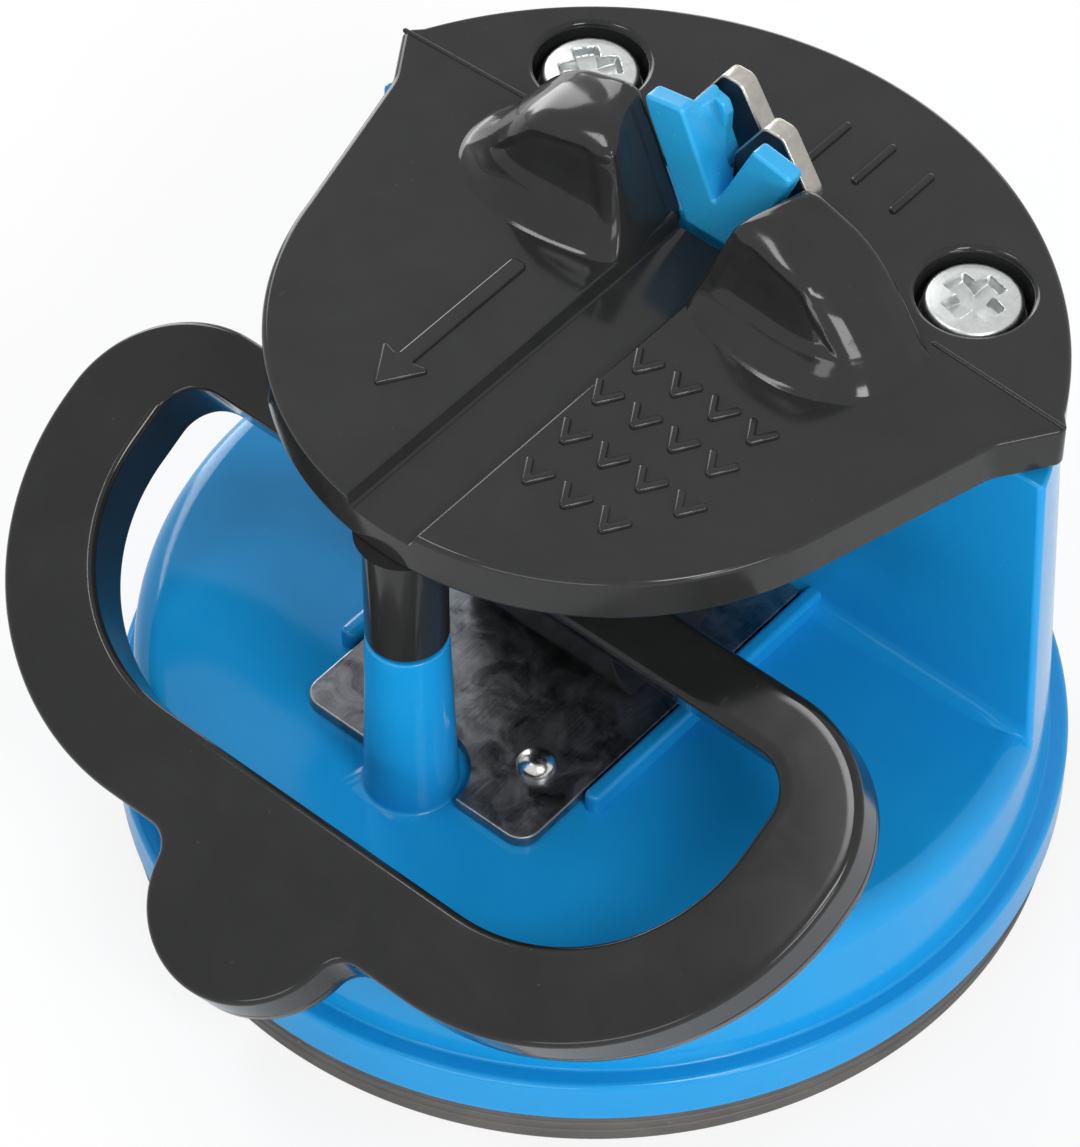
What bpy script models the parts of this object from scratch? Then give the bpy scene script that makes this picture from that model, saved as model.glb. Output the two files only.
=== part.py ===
"""A suction-base knife sharpener, built piece by piece in metres with +Z up.

The base's own axis is the working axis: every piece is laid out round it, and one empty carries
the whole object so that the origin lies on the table, under the middle of the object's box.
The knife is drawn towards -Y, and the object is the same on both sides of the plane x = 0.
"""
import math

import bmesh
import bpy
from mathutils import Matrix, Vector

MM = 0.001

# Shared by all pieces
GAP = 0.3 * MM
OVERRUN = 1.0 * MM
WELD = 0.001 * MM
TURN_STEPS = 72
ROUND_STEPS = 28
HOLLOW_STEPS = 50
SMOOTH_ANGLE = math.radians(35)
FLAT_ANGLE = math.radians(0.5)

# Base shell: flange, drafted wall, floor
BASE_RADIUS = 32.4 * MM
RIM_TOP = 2.9 * MM
FLANGE_TOP = 6.8 * MM
FLANGE_ROUND = 0.4 * MM
WALL_RADIUS = 31.0 * MM
WALL_DRAFT_SHARE = 0.045
FLOOR_TOP = 15.4 * MM
FLOOR_THICKNESS = 2.5 * MM
SHELL_WALL = 2.2 * MM
SHOULDER_ROUND = 2.0 * MM
LEDGE_WIDTH = 3.2 * MM

# Tower behind the floor, under the cover
TOWER_HEIGHT = 23.9 * MM
SCREW_SIDE = 15.9 * MM
SCREW_BACK = 18.2 * MM
SCREW_BOSS_RADIUS = 3.4 * MM
SCREW_BOSS_LENGTH = 11.0 * MM

# Cover plate
COVER_THICKNESS = 3.4 * MM
COVER_REAR_RADIUS = 29.8 * MM
COVER_CORNER_SIDE = 27.3 * MM
COVER_CORNER_BACK = 12.5 * MM
COVER_NECK_SIDE = 24.6 * MM
COVER_NECK_BACK = 8.0 * MM
NECK_HOLLOW = 1.1 * MM
TONGUE_RADIUS = 22.0 * MM
TONGUE_CENTRE = 1.5 * MM
TONGUE_START_ANGLE = math.radians(-13)
COVER_EDGE_ROUND = 0.7 * MM
GROOVE_HALF_WIDTH = 2.4 * MM
GROOVE_DEPTH = 1.0 * MM

# Pillar between floor and cover, at the front
PILLAR_BACK = -18.2 * MM
PILLAR_RADIUS = 2.7 * MM
PILLAR_JOINT = 14.5 * MM
BOSS_FOOT_RADIUS = 3.3 * MM
SPIGOT_RADIUS = 1.4 * MM
SPIGOT_LENGTH = 4.0 * MM

# Guards that stand on the cover, one each side of the knife slot
GUARD_INNER = 2.6 * MM
GUARD_OUTER = 17.2 * MM
GUARD_FRONT = 3.8 * MM
GUARD_REAR = 13.4 * MM
GUARD_HEIGHT = 7.6 * MM
GUARD_ACROSS_SHARES = [(0, 0), (0.05, 0.62), (0.1, 0.9), (0.19, 1), (0.4, 0.91), (0.6, 0.78),
                       (0.69, 0.65), (0.79, 0.42), (0.88, 0.17), (0.94, 0.05), (1, 0)]
GUARD_ALONG_SHARES = [(0, 0), (0.09, 0.05), (0.2, 0.2), (0.34, 0.5), (0.47, 0.8), (0.56, 0.95),
                      (0.68, 1), (1, 1)]

# Blade holder: a chevron in front, a narrower one behind it, and a foot under the cover
HOLDER_FRONT = 11.9 * MM
CHEVRON_THICKNESS = 1.05 * MM
BACK_LAYER_THICKNESS = 2.05 * MM
REAR_BLOCK_THICKNESS = 3.2 * MM
ARM_ANGLE = math.radians(23.8)
ARM_WIDTH = 3.3 * MM
ARM_LENGTH = 7.3 * MM
NOTCH_RISE = 2.4 * MM
ARM_STEP = 1.3 * MM
ARM_INSET = 0.4 * MM
HOLDER_HALF_WIDTH = 6.3 * MM
HOLDER_FLANGE = 1.6 * MM
HOLDER_FLANGE_THICKNESS = 0.9 * MM
SPINE_HALF_WIDTH = 2.3 * MM
SPINE_RISE = 3.4 * MM

# Carbide cutters: two pointed plates, one behind the other, behind the holder's notch
CARBIDE_THICKNESS = 1.5 * MM
CARBIDE_SIDE = 2.45 * MM
CARBIDE_TOP_RISE = 8.2 * MM
CARBIDE_HEIGHT = 10.0 * MM
CARBIDE_HALF_WIDTH = 3.1 * MM
CARBIDE_TIP_WIDTH = 1.5 * MM
CARBIDE_SLOPE_SHARE = 0.61
CARBIDE_ROUND = 0.45 * MM

# Steel wear plate on the floor, its two rivets and the ribs beside it
PLATE_HALF_WIDTH = 9.7 * MM
PLATE_FRONT = -18.3 * MM
PLATE_THICKNESS = 0.6 * MM
PLATE_CORNER = 1.6 * MM
RIVET_SIDE = 6.1 * MM
RIVET_BACK = -12.8 * MM
RIVET_HEAD_RADIUS = 1.2 * MM
RIVET_HEAD_HEIGHT = 0.8 * MM
RIVET_SHANK_RADIUS = 0.6 * MM
RIVET_LENGTH = 3.6 * MM
RIB_WIDTH = 1.2 * MM
RIB_HEIGHT = 1.5 * MM
RIB_FRONT = -12.9 * MM
RIB_ROUND = 0.4 * MM

# Cover screws
SCREW_HEAD_RADIUS = 3.1 * MM
SCREW_HEAD_HEIGHT = 1.5 * MM
SCREW_RECESS_RADIUS = 3.8 * MM
SCREW_RECESS_DEPTH = 2.4 * MM
SCREW_SHANK_RADIUS = 1.4 * MM
SCREW_LENGTH = 11.0 * MM
DRIVE_LENGTH = 3.4 * MM
DRIVE_WIDTH = 0.8 * MM
DRIVE_DEPTH = 0.9 * MM

# Lever: a tilted ring with a thumb tab, and a hub whose sole is a cam
PIVOT_HEIGHT = 27.0 * MM
CAM_LIFT_PER_RADIAN = 1.5 * MM
CAM_START_ANGLE = 0.0
CAM_END_ANGLE = math.radians(100)
CAM_STEPS = 10
LEVER_TILT = math.radians(28.35)
RING_OFFSET = 8.2 * MM
RING_HALF_WIDTH = 32.3 * MM
RING_REAR = 4.1 * MM
RING_FRONT = 33.6 * MM
RING_REAR_CORNER = 9.0 * MM
RING_FRONT_CORNER = 19.8 * MM
RING_SIDE_BAR = 6.5 * MM
RING_REAR_BAR = 4.3 * MM
RING_FRONT_BAR = 6.4 * MM
HOLE_REAR_CORNER = 3.0 * MM
RING_THICKNESS = 1.4 * MM
SKIRT_THICKNESS = 2.8 * MM
SKIRT_WIDTH = 1.4 * MM
RING_EDGE_ROUND = 0.25 * MM
TAB_RADIUS = 7.1 * MM
TAB_CENTRE = 0.2 * MM
TAB_FILLET = 2.0 * MM
HUB_HALF_WIDTH = 7.2 * MM
HUB_TOP = 5.6 * MM
SOLE_REACH = 4.6 * MM
SOLE_ROUND = 1.2 * MM

# Pin and stem
PIN_RADIUS = 1.5 * MM
PIN_INSET = 0.3 * MM
STEM_RADIUS = 2.4 * MM
STEM_EYE_RADIUS = 4.4 * MM
STEM_FOOT_RADIUS = 6.0 * MM
STEM_FOOT_THICKNESS = 1.6 * MM
STEM_FOOT_HEIGHT = 6.5 * MM

# Suction cup
CUP_RADIUS = 32.0 * MM
CUP_FOOT_WIDTH = 4.3 * MM
CUP_EDGE_ROUND = 0.5 * MM
CUP_STEP_HEIGHT = 1.4 * MM
CUP_STEP_WIDTH = 2.0 * MM
CUP_WALL = 2.2 * MM
CUP_BOSS_WALL = 1.9 * MM
CUP_DOME_RADIUS = 7.0 * MM

# Worked out from the sizes above
RING_TAB_TIP = RING_FRONT + TAB_CENTRE + TAB_RADIUS
TAB_RISE = TAB_FILLET - TAB_CENTRE
TAB_FOOT = math.sqrt((TAB_RADIUS + TAB_FILLET) ** 2 - TAB_RISE ** 2)
FRONT_CORNER = min(RING_FRONT_CORNER, RING_HALF_WIDTH - TAB_FOOT)
TAB_TIP_REACH = (RING_TAB_TIP * math.cos(LEVER_TILT)
                 + (RING_OFFSET - RING_EDGE_ROUND) * math.sin(LEVER_TILT))
AXIS_BACK = (TAB_TIP_REACH - BASE_RADIUS) / 2
SHELL_BOTTOM = RIM_TOP + GAP
SHELL_INNER_RADIUS = BASE_RADIUS - LEDGE_WIDTH
FLOOR_UNDERSIDE = FLOOR_TOP - FLOOR_THICKNESS
TOWER_TOP = FLOOR_TOP + TOWER_HEIGHT
COVER_UNDERSIDE = TOWER_TOP + GAP
COVER_TOP = COVER_UNDERSIDE + COVER_THICKNESS
GROOVE_FLOOR = COVER_TOP - GROOVE_DEPTH
PLATE_BOTTOM = FLOOR_TOP + GAP
PLATE_TOP = PLATE_BOTTOM + PLATE_THICKNESS
CAM_REST_RADIUS = PIVOT_HEIGHT - PLATE_TOP - GAP
TOWER_FRONT = CAM_REST_RADIUS
STEM_HOLE_RADIUS = STEM_RADIUS + 2 * GAP
SCREW_SEAT = COVER_TOP - SCREW_RECESS_DEPTH
PILLAR_JOINT_HEIGHT = FLOOR_TOP + PILLAR_JOINT


def wall_radius(height):
    """The drafted wall's radius at a height, full at the flange's top."""
    return WALL_RADIUS - (height - FLANGE_TOP) * WALL_DRAFT_SHARE


def arc(centre, radius, start, end, steps):
    """Points of a circular arc, ends included."""
    points = []
    for step in range(steps + 1):
        angle = start + (end - start) * step / steps
        points.append((centre[0] + radius * math.cos(angle), centre[1] + radius * math.sin(angle)))
    return points


def both_sides(right_half):
    """A closed outline from its right half, which runs from front to back."""
    left_half = [(-x, y) for x, y in reversed(right_half) if abs(x) > WELD]
    return right_half + left_half


for old in list(bpy.data.objects):
    bpy.data.objects.remove(old, do_unlink=True)

sharpener = bpy.data.collections.new("knife_sharpener")
cutters = bpy.data.collections.new("cutters")
bpy.context.scene.collection.children.link(sharpener)
bpy.context.scene.collection.children.link(cutters)

stand = bpy.data.objects.new("stand_axis", None)
stand.location = (0, AXIS_BACK, 0)
sharpener.objects.link(stand)

stem_slide = bpy.data.objects.new("stem_slide", None)
stem_slide.parent = stand
sharpener.objects.link(stem_slide)

lever_turn = bpy.data.objects.new("lever_turn", None)
lever_turn.parent = stem_slide
lever_turn.location = (0, 0, PIVOT_HEIGHT)
sharpener.objects.link(lever_turn)


def material(name, colour, roughness, metallic=0.0):
    made = bpy.data.materials.new(name)
    made.use_nodes = True
    shader = made.node_tree.nodes["Principled BSDF"]
    shader.inputs["Base Color"].default_value = (*colour, 1)
    shader.inputs["Roughness"].default_value = roughness
    shader.inputs["Metallic"].default_value = metallic
    return made


def add_object(name, mesh, parent=stand):
    thing = bpy.data.objects.new(name, mesh)
    thing.parent = parent
    cutters.objects.link(thing)
    thing.hide_render = True
    thing.display_type = 'WIRE'
    return thing


def finish(thing, look):
    """Turn a working solid into one of the object's pieces."""
    cutters.objects.unlink(thing)
    sharpener.objects.link(thing)
    thing.hide_render = False
    thing.display_type = 'TEXTURED'
    thing.data.materials.clear()
    thing.data.materials.append(look)
    thing.data.shade_smooth()
    thing.data.set_sharp_from_angle(angle=SMOOTH_ANGLE)
    return thing


def mesh_from(name, bm):
    bmesh.ops.recalc_face_normals(bm, faces=bm.faces)
    mesh = bpy.data.meshes.new(name)
    bm.to_mesh(mesh)
    bm.free()
    return mesh


def box(name, low, high, parent=stand):
    bm = bmesh.new()
    bmesh.ops.create_cube(bm, size=1)
    size = Vector(high) - Vector(low)
    middle = (Vector(high) + Vector(low)) / 2
    bmesh.ops.scale(bm, vec=size, verts=bm.verts)
    bmesh.ops.translate(bm, vec=middle, verts=bm.verts)
    return add_object(name, mesh_from(name, bm), parent)


def cone(name, low_radius, high_radius, low, high, place=(0, 0), steps=ROUND_STEPS, parent=stand):
    """A cylinder or cone that stands on its axis between two heights."""
    bm = bmesh.new()
    bmesh.ops.create_cone(bm, cap_ends=True, segments=steps, radius1=low_radius,
                          radius2=high_radius, depth=high - low)
    bmesh.ops.translate(bm, vec=(place[0], place[1], (high + low) / 2), verts=bm.verts)
    return add_object(name, mesh_from(name, bm), parent)


def cross_cylinder(name, radius, half_length, parent=stand):
    """A cylinder along X through its parent's origin."""
    bm = bmesh.new()
    turn = Matrix.Rotation(math.pi / 2, 4, 'Y')
    bmesh.ops.create_cone(bm, cap_ends=True, segments=ROUND_STEPS, radius1=radius,
                          radius2=radius, depth=2 * half_length, matrix=turn)
    return add_object(name, mesh_from(name, bm), parent)


def turned(name, profile, closed=True, steps=TURN_STEPS, parent=stand):
    """A profile of radius and height, swept once round Z."""
    mesh = bpy.data.meshes.new(name)
    edges = [(i, i + 1) for i in range(len(profile) - 1)]
    if closed:
        edges.append((len(profile) - 1, 0))
    mesh.from_pydata([(radius, 0, height) for radius, height in profile], edges, [])
    thing = add_object(name, mesh, parent)
    sweep = thing.modifiers.new("sweep", 'SCREW')
    sweep.steps = steps
    sweep.render_steps = steps
    sweep.use_merge_vertices = True
    sweep.merge_threshold = WELD
    return thing


def flat_solid(name, loops, thickness, place=Matrix.Identity(4), parent=stand):
    """A flat outline, holes allowed, given its thickness upwards and then placed."""
    curve = bpy.data.curves.new(name, 'CURVE')
    curve.dimensions = '2D'
    curve.fill_mode = 'BOTH'
    curve.extrude = thickness / 2
    for loop in loops:
        spline = curve.splines.new('POLY')
        spline.points.add(len(loop) - 1)
        for point, (x, y) in zip(spline.points, loop):
            point.co = (x, y, 0, 1)
        spline.use_cyclic_u = True
    outline = bpy.data.objects.new(name + "_outline", curve)
    cutters.objects.link(outline)
    bpy.context.view_layer.update()
    depsgraph = bpy.context.evaluated_depsgraph_get()
    mesh = bpy.data.meshes.new_from_object(outline.evaluated_get(depsgraph))
    bpy.data.objects.remove(outline, do_unlink=True)
    bm = bmesh.new()
    bm.from_mesh(mesh)
    bmesh.ops.remove_doubles(bm, verts=bm.verts, dist=WELD)
    bmesh.ops.dissolve_limit(bm, angle_limit=FLAT_ANGLE, verts=bm.verts, edges=bm.edges)
    bmesh.ops.translate(bm, vec=(0, 0, thickness / 2), verts=bm.verts)
    bmesh.ops.transform(bm, matrix=place, verts=bm.verts)
    return add_object(name, mesh_from(name, bm), parent)


def upright(depth):
    """Places an outline of x and height so that its thickness runs back from a depth."""
    return Matrix(((1, 0, 0, 0), (0, 0, 1, depth), (0, 1, 0, 0), (0, 0, 0, 1)))


def combine(target, tool, operation):
    step = target.modifiers.new(tool.name, 'BOOLEAN')
    step.operation = operation
    step.solver = 'EXACT'
    step.object = tool


def cut(target, *tools):
    for tool in tools:
        combine(target, tool, 'DIFFERENCE')


def join(target, *tools):
    for tool in tools:
        combine(target, tool, 'UNION')


def keep_common(target, tool):
    combine(target, tool, 'INTERSECT')


def round_edges(thing, width, segments=2, angle=math.radians(50)):
    bevel = thing.modifiers.new("rounded edges", 'BEVEL')
    bevel.width = width
    bevel.segments = segments
    bevel.limit_method = 'ANGLE'
    bevel.angle_limit = angle
    bevel.use_clamp_overlap = True


blue = material("blue_plastic", (0.02, 0.25, 0.66), 0.32)
black = material("black_gloss_plastic", (0.012, 0.012, 0.013), 0.16)
rubber = material("black_rubber", (0.03, 0.03, 0.03), 0.6)
zinc = material("zinc_steel", (0.72, 0.72, 0.72), 0.28, 1.0)
carbide = material("carbide", (0.55, 0.54, 0.52), 0.4, 1.0)
dark_steel = material("dark_steel", (0.24, 0.24, 0.25), 0.42, 1.0)
grey_plastic = material("grey_plastic", (0.1, 0.1, 0.11), 0.45)


def base_profile():
    """The shell's section, from the floor's hole out, down the wall and back up inside."""
    shoulder = arc((wall_radius(FLOOR_TOP) - SHOULDER_ROUND, FLOOR_TOP - SHOULDER_ROUND),
                   SHOULDER_ROUND, math.pi / 2, 0, 4)
    flange = arc((BASE_RADIUS - FLANGE_ROUND, FLANGE_TOP - FLANGE_ROUND), FLANGE_ROUND,
                 math.pi / 2, 0, 2)
    return ([(STEM_HOLE_RADIUS, FLOOR_TOP)] + shoulder + [(WALL_RADIUS, FLANGE_TOP)] + flange
            + [(BASE_RADIUS, SHELL_BOTTOM), (SHELL_INNER_RADIUS, SHELL_BOTTOM),
               (SHELL_INNER_RADIUS, FLANGE_TOP),
               (wall_radius(FLOOR_UNDERSIDE) - SHELL_WALL, FLANGE_TOP),
               (wall_radius(FLOOR_UNDERSIDE) - SHELL_WALL, FLOOR_UNDERSIDE),
               (STEM_HOLE_RADIUS, FLOOR_UNDERSIDE)])


def tower_block(name, inset, front, low, high, steps):
    """The part of the drafted wall that stands behind a front plane."""
    block = cone(name, wall_radius(low) - inset, wall_radius(high) - inset, low, high,
                 steps=steps)
    behind = box(name + "_behind", (-BASE_RADIUS - OVERRUN, front, low - OVERRUN),
                 (BASE_RADIUS + OVERRUN, BASE_RADIUS + OVERRUN, high + OVERRUN))
    keep_common(block, behind)
    return block


def make_base_shell():
    shell = turned("base_shell", base_profile())
    tower = tower_block("tower", GAP / 10, TOWER_FRONT, FLOOR_UNDERSIDE + GAP, TOWER_TOP,
                        TURN_STEPS)
    hollow = tower_block("tower_hollow", SHELL_WALL + GAP, TOWER_FRONT + SHELL_WALL,
                         FLOOR_UNDERSIDE - OVERRUN, TOWER_TOP - SHELL_WALL, HOLLOW_STEPS)
    boss = cone("pillar_boss", BOSS_FOOT_RADIUS, PILLAR_RADIUS, FLOOR_TOP - OVERRUN,
                PILLAR_JOINT_HEIGHT, (0, PILLAR_BACK))
    socket = cone("pillar_socket", SPIGOT_RADIUS + GAP, SPIGOT_RADIUS + GAP,
                  PILLAR_JOINT_HEIGHT - SPIGOT_LENGTH - GAP, PILLAR_JOINT_HEIGHT + OVERRUN,
                  (0, PILLAR_BACK))
    for side, word in ((-1, "left"), (1, "right")):
        cut(hollow, cone("screw_boss_" + word, SCREW_BOSS_RADIUS, SCREW_BOSS_RADIUS,
                         TOWER_TOP - SCREW_BOSS_LENGTH, TOWER_TOP,
                         (side * SCREW_SIDE, SCREW_BACK)))
    join(shell, tower, boss)
    cut(shell, hollow, socket)
    for side, word in ((-1, "left"), (1, "right")):
        inner = side * (PLATE_HALF_WIDTH + GAP)
        outer = inner + side * RIB_WIDTH
        rib = box("rib_" + word, (min(inner, outer), RIB_FRONT, FLOOR_TOP - OVERRUN),
                  (max(inner, outer), TOWER_FRONT + OVERRUN, FLOOR_TOP + RIB_HEIGHT))
        round_edges(rib, RIB_ROUND)
        bore = cone("screw_bore_" + word, SCREW_SHANK_RADIUS + GAP, SCREW_SHANK_RADIUS + GAP,
                    TOWER_TOP - SCREW_BOSS_LENGTH - OVERRUN, TOWER_TOP + OVERRUN,
                    (side * SCREW_SIDE, SCREW_BACK))
        rivet_hole = cone("rivet_hole_" + word, RIVET_SHANK_RADIUS + GAP,
                          RIVET_SHANK_RADIUS + GAP, FLOOR_UNDERSIDE - OVERRUN,
                          FLOOR_TOP + OVERRUN, (side * RIVET_SIDE, RIVET_BACK), steps=12)
        join(shell, rib)
        cut(shell, bore, rivet_hole)
    return finish(shell, blue)


def cover_outline():
    """Right half of the cover from the tongue's tip, up the flared side and round the rear."""
    tongue = arc((0, TONGUE_CENTRE), TONGUE_RADIUS, -math.pi / 2, TONGUE_START_ANGLE, 14)
    corner_angle = math.atan2(COVER_CORNER_BACK, COVER_CORNER_SIDE)
    rear = arc((0, 0), COVER_REAR_RADIUS, corner_angle, math.pi / 2, 16)
    rear[-1] = (0, COVER_REAR_RADIUS)
    tongue[0] = (0, TONGUE_CENTRE - TONGUE_RADIUS)
    neck = (COVER_NECK_SIDE, COVER_NECK_BACK)
    hollow = ((COVER_NECK_SIDE + COVER_CORNER_SIDE) / 2 - NECK_HOLLOW / 3,
              (COVER_NECK_BACK + COVER_CORNER_BACK) / 2 + NECK_HOLLOW / 3)
    return both_sides(tongue + [neck, hollow] + rear)


def guard(name, side):
    """A hump whose height is a share across times a share along."""
    bm = bmesh.new()
    columns = len(GUARD_ACROSS_SHARES)
    rows = len(GUARD_ALONG_SHARES)
    bmesh.ops.create_grid(bm, x_segments=columns - 1, y_segments=rows - 1, size=1)
    for vertex in bm.verts:
        column = round((vertex.co.x + 1) / 2 * (columns - 1))
        row = round((vertex.co.y + 1) / 2 * (rows - 1))
        across, high_across = GUARD_ACROSS_SHARES[column]
        along, high_along = GUARD_ALONG_SHARES[row]
        vertex.co.x = side * (GUARD_INNER + (GUARD_OUTER - GUARD_INNER) * across)
        vertex.co.y = GUARD_FRONT + (GUARD_REAR - GUARD_FRONT) * along
        vertex.co.z = COVER_TOP - GAP / 10 + GUARD_HEIGHT * high_across * high_along
    raised = bmesh.ops.extrude_face_region(bm, geom=bm.faces[:])["geom"]
    for element in raised:
        if isinstance(element, bmesh.types.BMVert):
            element.co.z = COVER_TOP - OVERRUN
    return add_object(name, mesh_from(name, bm))


def arm_side(height):
    """Half the width that the holder's two arms need at a height, with their clearance."""
    edge, edge_height = arm_point(0.0, ARM_WIDTH + GAP)
    return edge + (height - edge_height) * math.tan(ARM_ANGLE)


def holder_aperture(name):
    """The cover's window for the holder, the recess for its flange, and room for its arms."""
    front = HOLDER_FRONT - GAP
    back = HOLDER_FRONT + CHEVRON_THICKNESS + BACK_LAYER_THICKNESS + REAR_BLOCK_THICKNESS + GAP
    window = box(name, (-HOLDER_HALF_WIDTH - GAP, front, COVER_UNDERSIDE - OVERRUN),
                 (HOLDER_HALF_WIDTH + GAP, back, COVER_TOP + GAP))
    flange = HOLDER_HALF_WIDTH + HOLDER_FLANGE + GAP
    recess = box(name + "_recess", (-flange, front, COVER_UNDERSIDE - OVERRUN),
                 (flange, back, COVER_UNDERSIDE + HOLDER_FLANGE_THICKNESS + GAP))
    low = GROOVE_FLOOR
    high = COVER_TOP + GUARD_HEIGHT + OVERRUN
    arms = flat_solid(name + "_arms", [both_sides([(arm_side(low), low), (arm_side(high), high)])],
                      GUARD_REAR + OVERRUN - front, upright(front))
    return window, recess, arms


def make_top_cover():
    cover = flat_solid("top_cover", [cover_outline()], COVER_THICKNESS,
                       Matrix.Translation((0, 0, COVER_UNDERSIDE)))
    round_edges(cover, COVER_EDGE_ROUND)
    pillar = cone("pillar", PILLAR_RADIUS, PILLAR_RADIUS, PILLAR_JOINT_HEIGHT + GAP,
                  COVER_UNDERSIDE + OVERRUN, (0, PILLAR_BACK))
    spigot = cone("spigot", SPIGOT_RADIUS, SPIGOT_RADIUS, PILLAR_JOINT_HEIGHT - SPIGOT_LENGTH,
                  PILLAR_JOINT_HEIGHT + OVERRUN, (0, PILLAR_BACK))
    join(cover, guard("guard_left", -1), guard("guard_right", 1), pillar, spigot)
    groove = box("knife_groove", (-GROOVE_HALF_WIDTH, -TONGUE_RADIUS - OVERRUN, GROOVE_FLOOR),
                 (GROOVE_HALF_WIDTH, HOLDER_FRONT, COVER_TOP + OVERRUN))
    cut(cover, groove, *holder_aperture("holder_window"))
    for side, word in ((-1, "left"), (1, "right")):
        place = (side * SCREW_SIDE, SCREW_BACK)
        recess = cone("screw_recess_" + word, SCREW_RECESS_RADIUS, SCREW_RECESS_RADIUS,
                      SCREW_SEAT, COVER_TOP + GUARD_HEIGHT + OVERRUN, place)
        hole = cone("cover_hole_" + word, SCREW_SHANK_RADIUS + GAP, SCREW_SHANK_RADIUS + GAP,
                    COVER_UNDERSIDE - OVERRUN, SCREW_SEAT + OVERRUN, place)
        cut(cover, recess, hole)
    return finish(cover, black)


def make_cover_screw(name, side):
    """A pan-head screw with a cross drive, its origin on the seat in the cover."""
    bottom = SCREW_SEAT + GAP
    head_round = arc((SCREW_HEAD_RADIUS - SCREW_HEAD_HEIGHT / 2, bottom + SCREW_HEAD_HEIGHT / 2),
                     SCREW_HEAD_HEIGHT / 2, math.pi / 2, 0, 3)
    profile = ([(0, bottom + SCREW_HEAD_HEIGHT)] + head_round
               + [(SCREW_HEAD_RADIUS, bottom), (SCREW_SHANK_RADIUS, bottom),
                  (SCREW_SHANK_RADIUS, bottom - SCREW_LENGTH + SCREW_SHANK_RADIUS),
                  (0, bottom - SCREW_LENGTH)])
    screw = turned(name, profile, closed=False, steps=ROUND_STEPS)
    screw.location = (side * SCREW_SIDE, SCREW_BACK, 0)
    top = bottom + SCREW_HEAD_HEIGHT
    for word, half_x, half_y in (("a", DRIVE_LENGTH / 2, DRIVE_WIDTH / 2),
                                 ("b", DRIVE_WIDTH / 2, DRIVE_LENGTH / 2)):
        slot = box(name + "_drive_" + word, (-half_x, -half_y, top - DRIVE_DEPTH),
                   (half_x, half_y, top + OVERRUN))
        slot.location = screw.location
        cut(screw, slot)
    return finish(screw, zinc)


def arm_point(along, across):
    """A point of the right arm: along it from the notch, and outwards across it."""
    x = along * math.sin(ARM_ANGLE) + across * math.cos(ARM_ANGLE)
    height = along * math.cos(ARM_ANGLE) - across * math.sin(ARM_ANGLE)
    return x, GROOVE_FLOOR + GAP + NOTCH_RISE + height


def chevron(step, narrower, deeper):
    """A V's outline, its arms stepped inwards, narrowed outside and set deeper into the foot."""
    rise = step / math.sin(ARM_ANGLE)
    width = ARM_WIDTH - narrower
    foot_side = width / math.cos(ARM_ANGLE) - (NOTCH_RISE + deeper) * math.tan(ARM_ANGLE)
    inner_top = arm_point(ARM_LENGTH, -step)
    outer_top = arm_point(ARM_LENGTH, width)
    top = GROOVE_FLOOR + GAP
    return both_sides([(foot_side, top - deeper), outer_top, inner_top,
                       (0, top + NOTCH_RISE + rise)])


def carbide_outline(grow):
    """A plate with a narrow top, standing to the right of the notch; grow widens it all round."""
    top = COVER_TOP + CARBIDE_TOP_RISE + grow
    half_tip = CARBIDE_TIP_WIDTH / 2 + grow
    half_foot = CARBIDE_HALF_WIDTH + grow
    shoulder = top - (half_foot - half_tip) / CARBIDE_SLOPE_SHARE
    bottom = COVER_TOP + CARBIDE_TOP_RISE - CARBIDE_HEIGHT - grow
    return [(CARBIDE_SIDE - half_foot, bottom), (CARBIDE_SIDE + half_foot, bottom),
            (CARBIDE_SIDE + half_foot, shoulder), (CARBIDE_SIDE + half_tip, top),
            (CARBIDE_SIDE - half_tip, top), (CARBIDE_SIDE - half_foot, shoulder)]


def carbide_depth(side):
    """The right plate lies in front of the left one."""
    front = HOLDER_FRONT + CHEVRON_THICKNESS + CARBIDE_THICKNESS - GAP / 2
    if side > 0:
        return front
    return front + CARBIDE_THICKNESS + GAP


def carbide_plate(name, side, grow):
    outline = [(side * x, z) for x, z in carbide_outline(grow)]
    return flat_solid(name, [outline], CARBIDE_THICKNESS + 2 * grow,
                      upright(carbide_depth(side) - grow))


def make_carbide(name, side):
    plate = carbide_plate(name, side, 0.0)
    round_edges(plate, CARBIDE_ROUND, segments=1)
    return finish(plate, carbide)


def foot_outline():
    """The foot from the front: a flange under the cover and a neck up through its window."""
    flange = HOLDER_HALF_WIDTH + HOLDER_FLANGE
    ledge = COVER_UNDERSIDE + HOLDER_FLANGE_THICKNESS
    return both_sides([(flange, COVER_UNDERSIDE), (flange, ledge), (HOLDER_HALF_WIDTH, ledge),
                       (HOLDER_HALF_WIDTH, GROOVE_FLOOR + 2 * GAP)])


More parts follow.
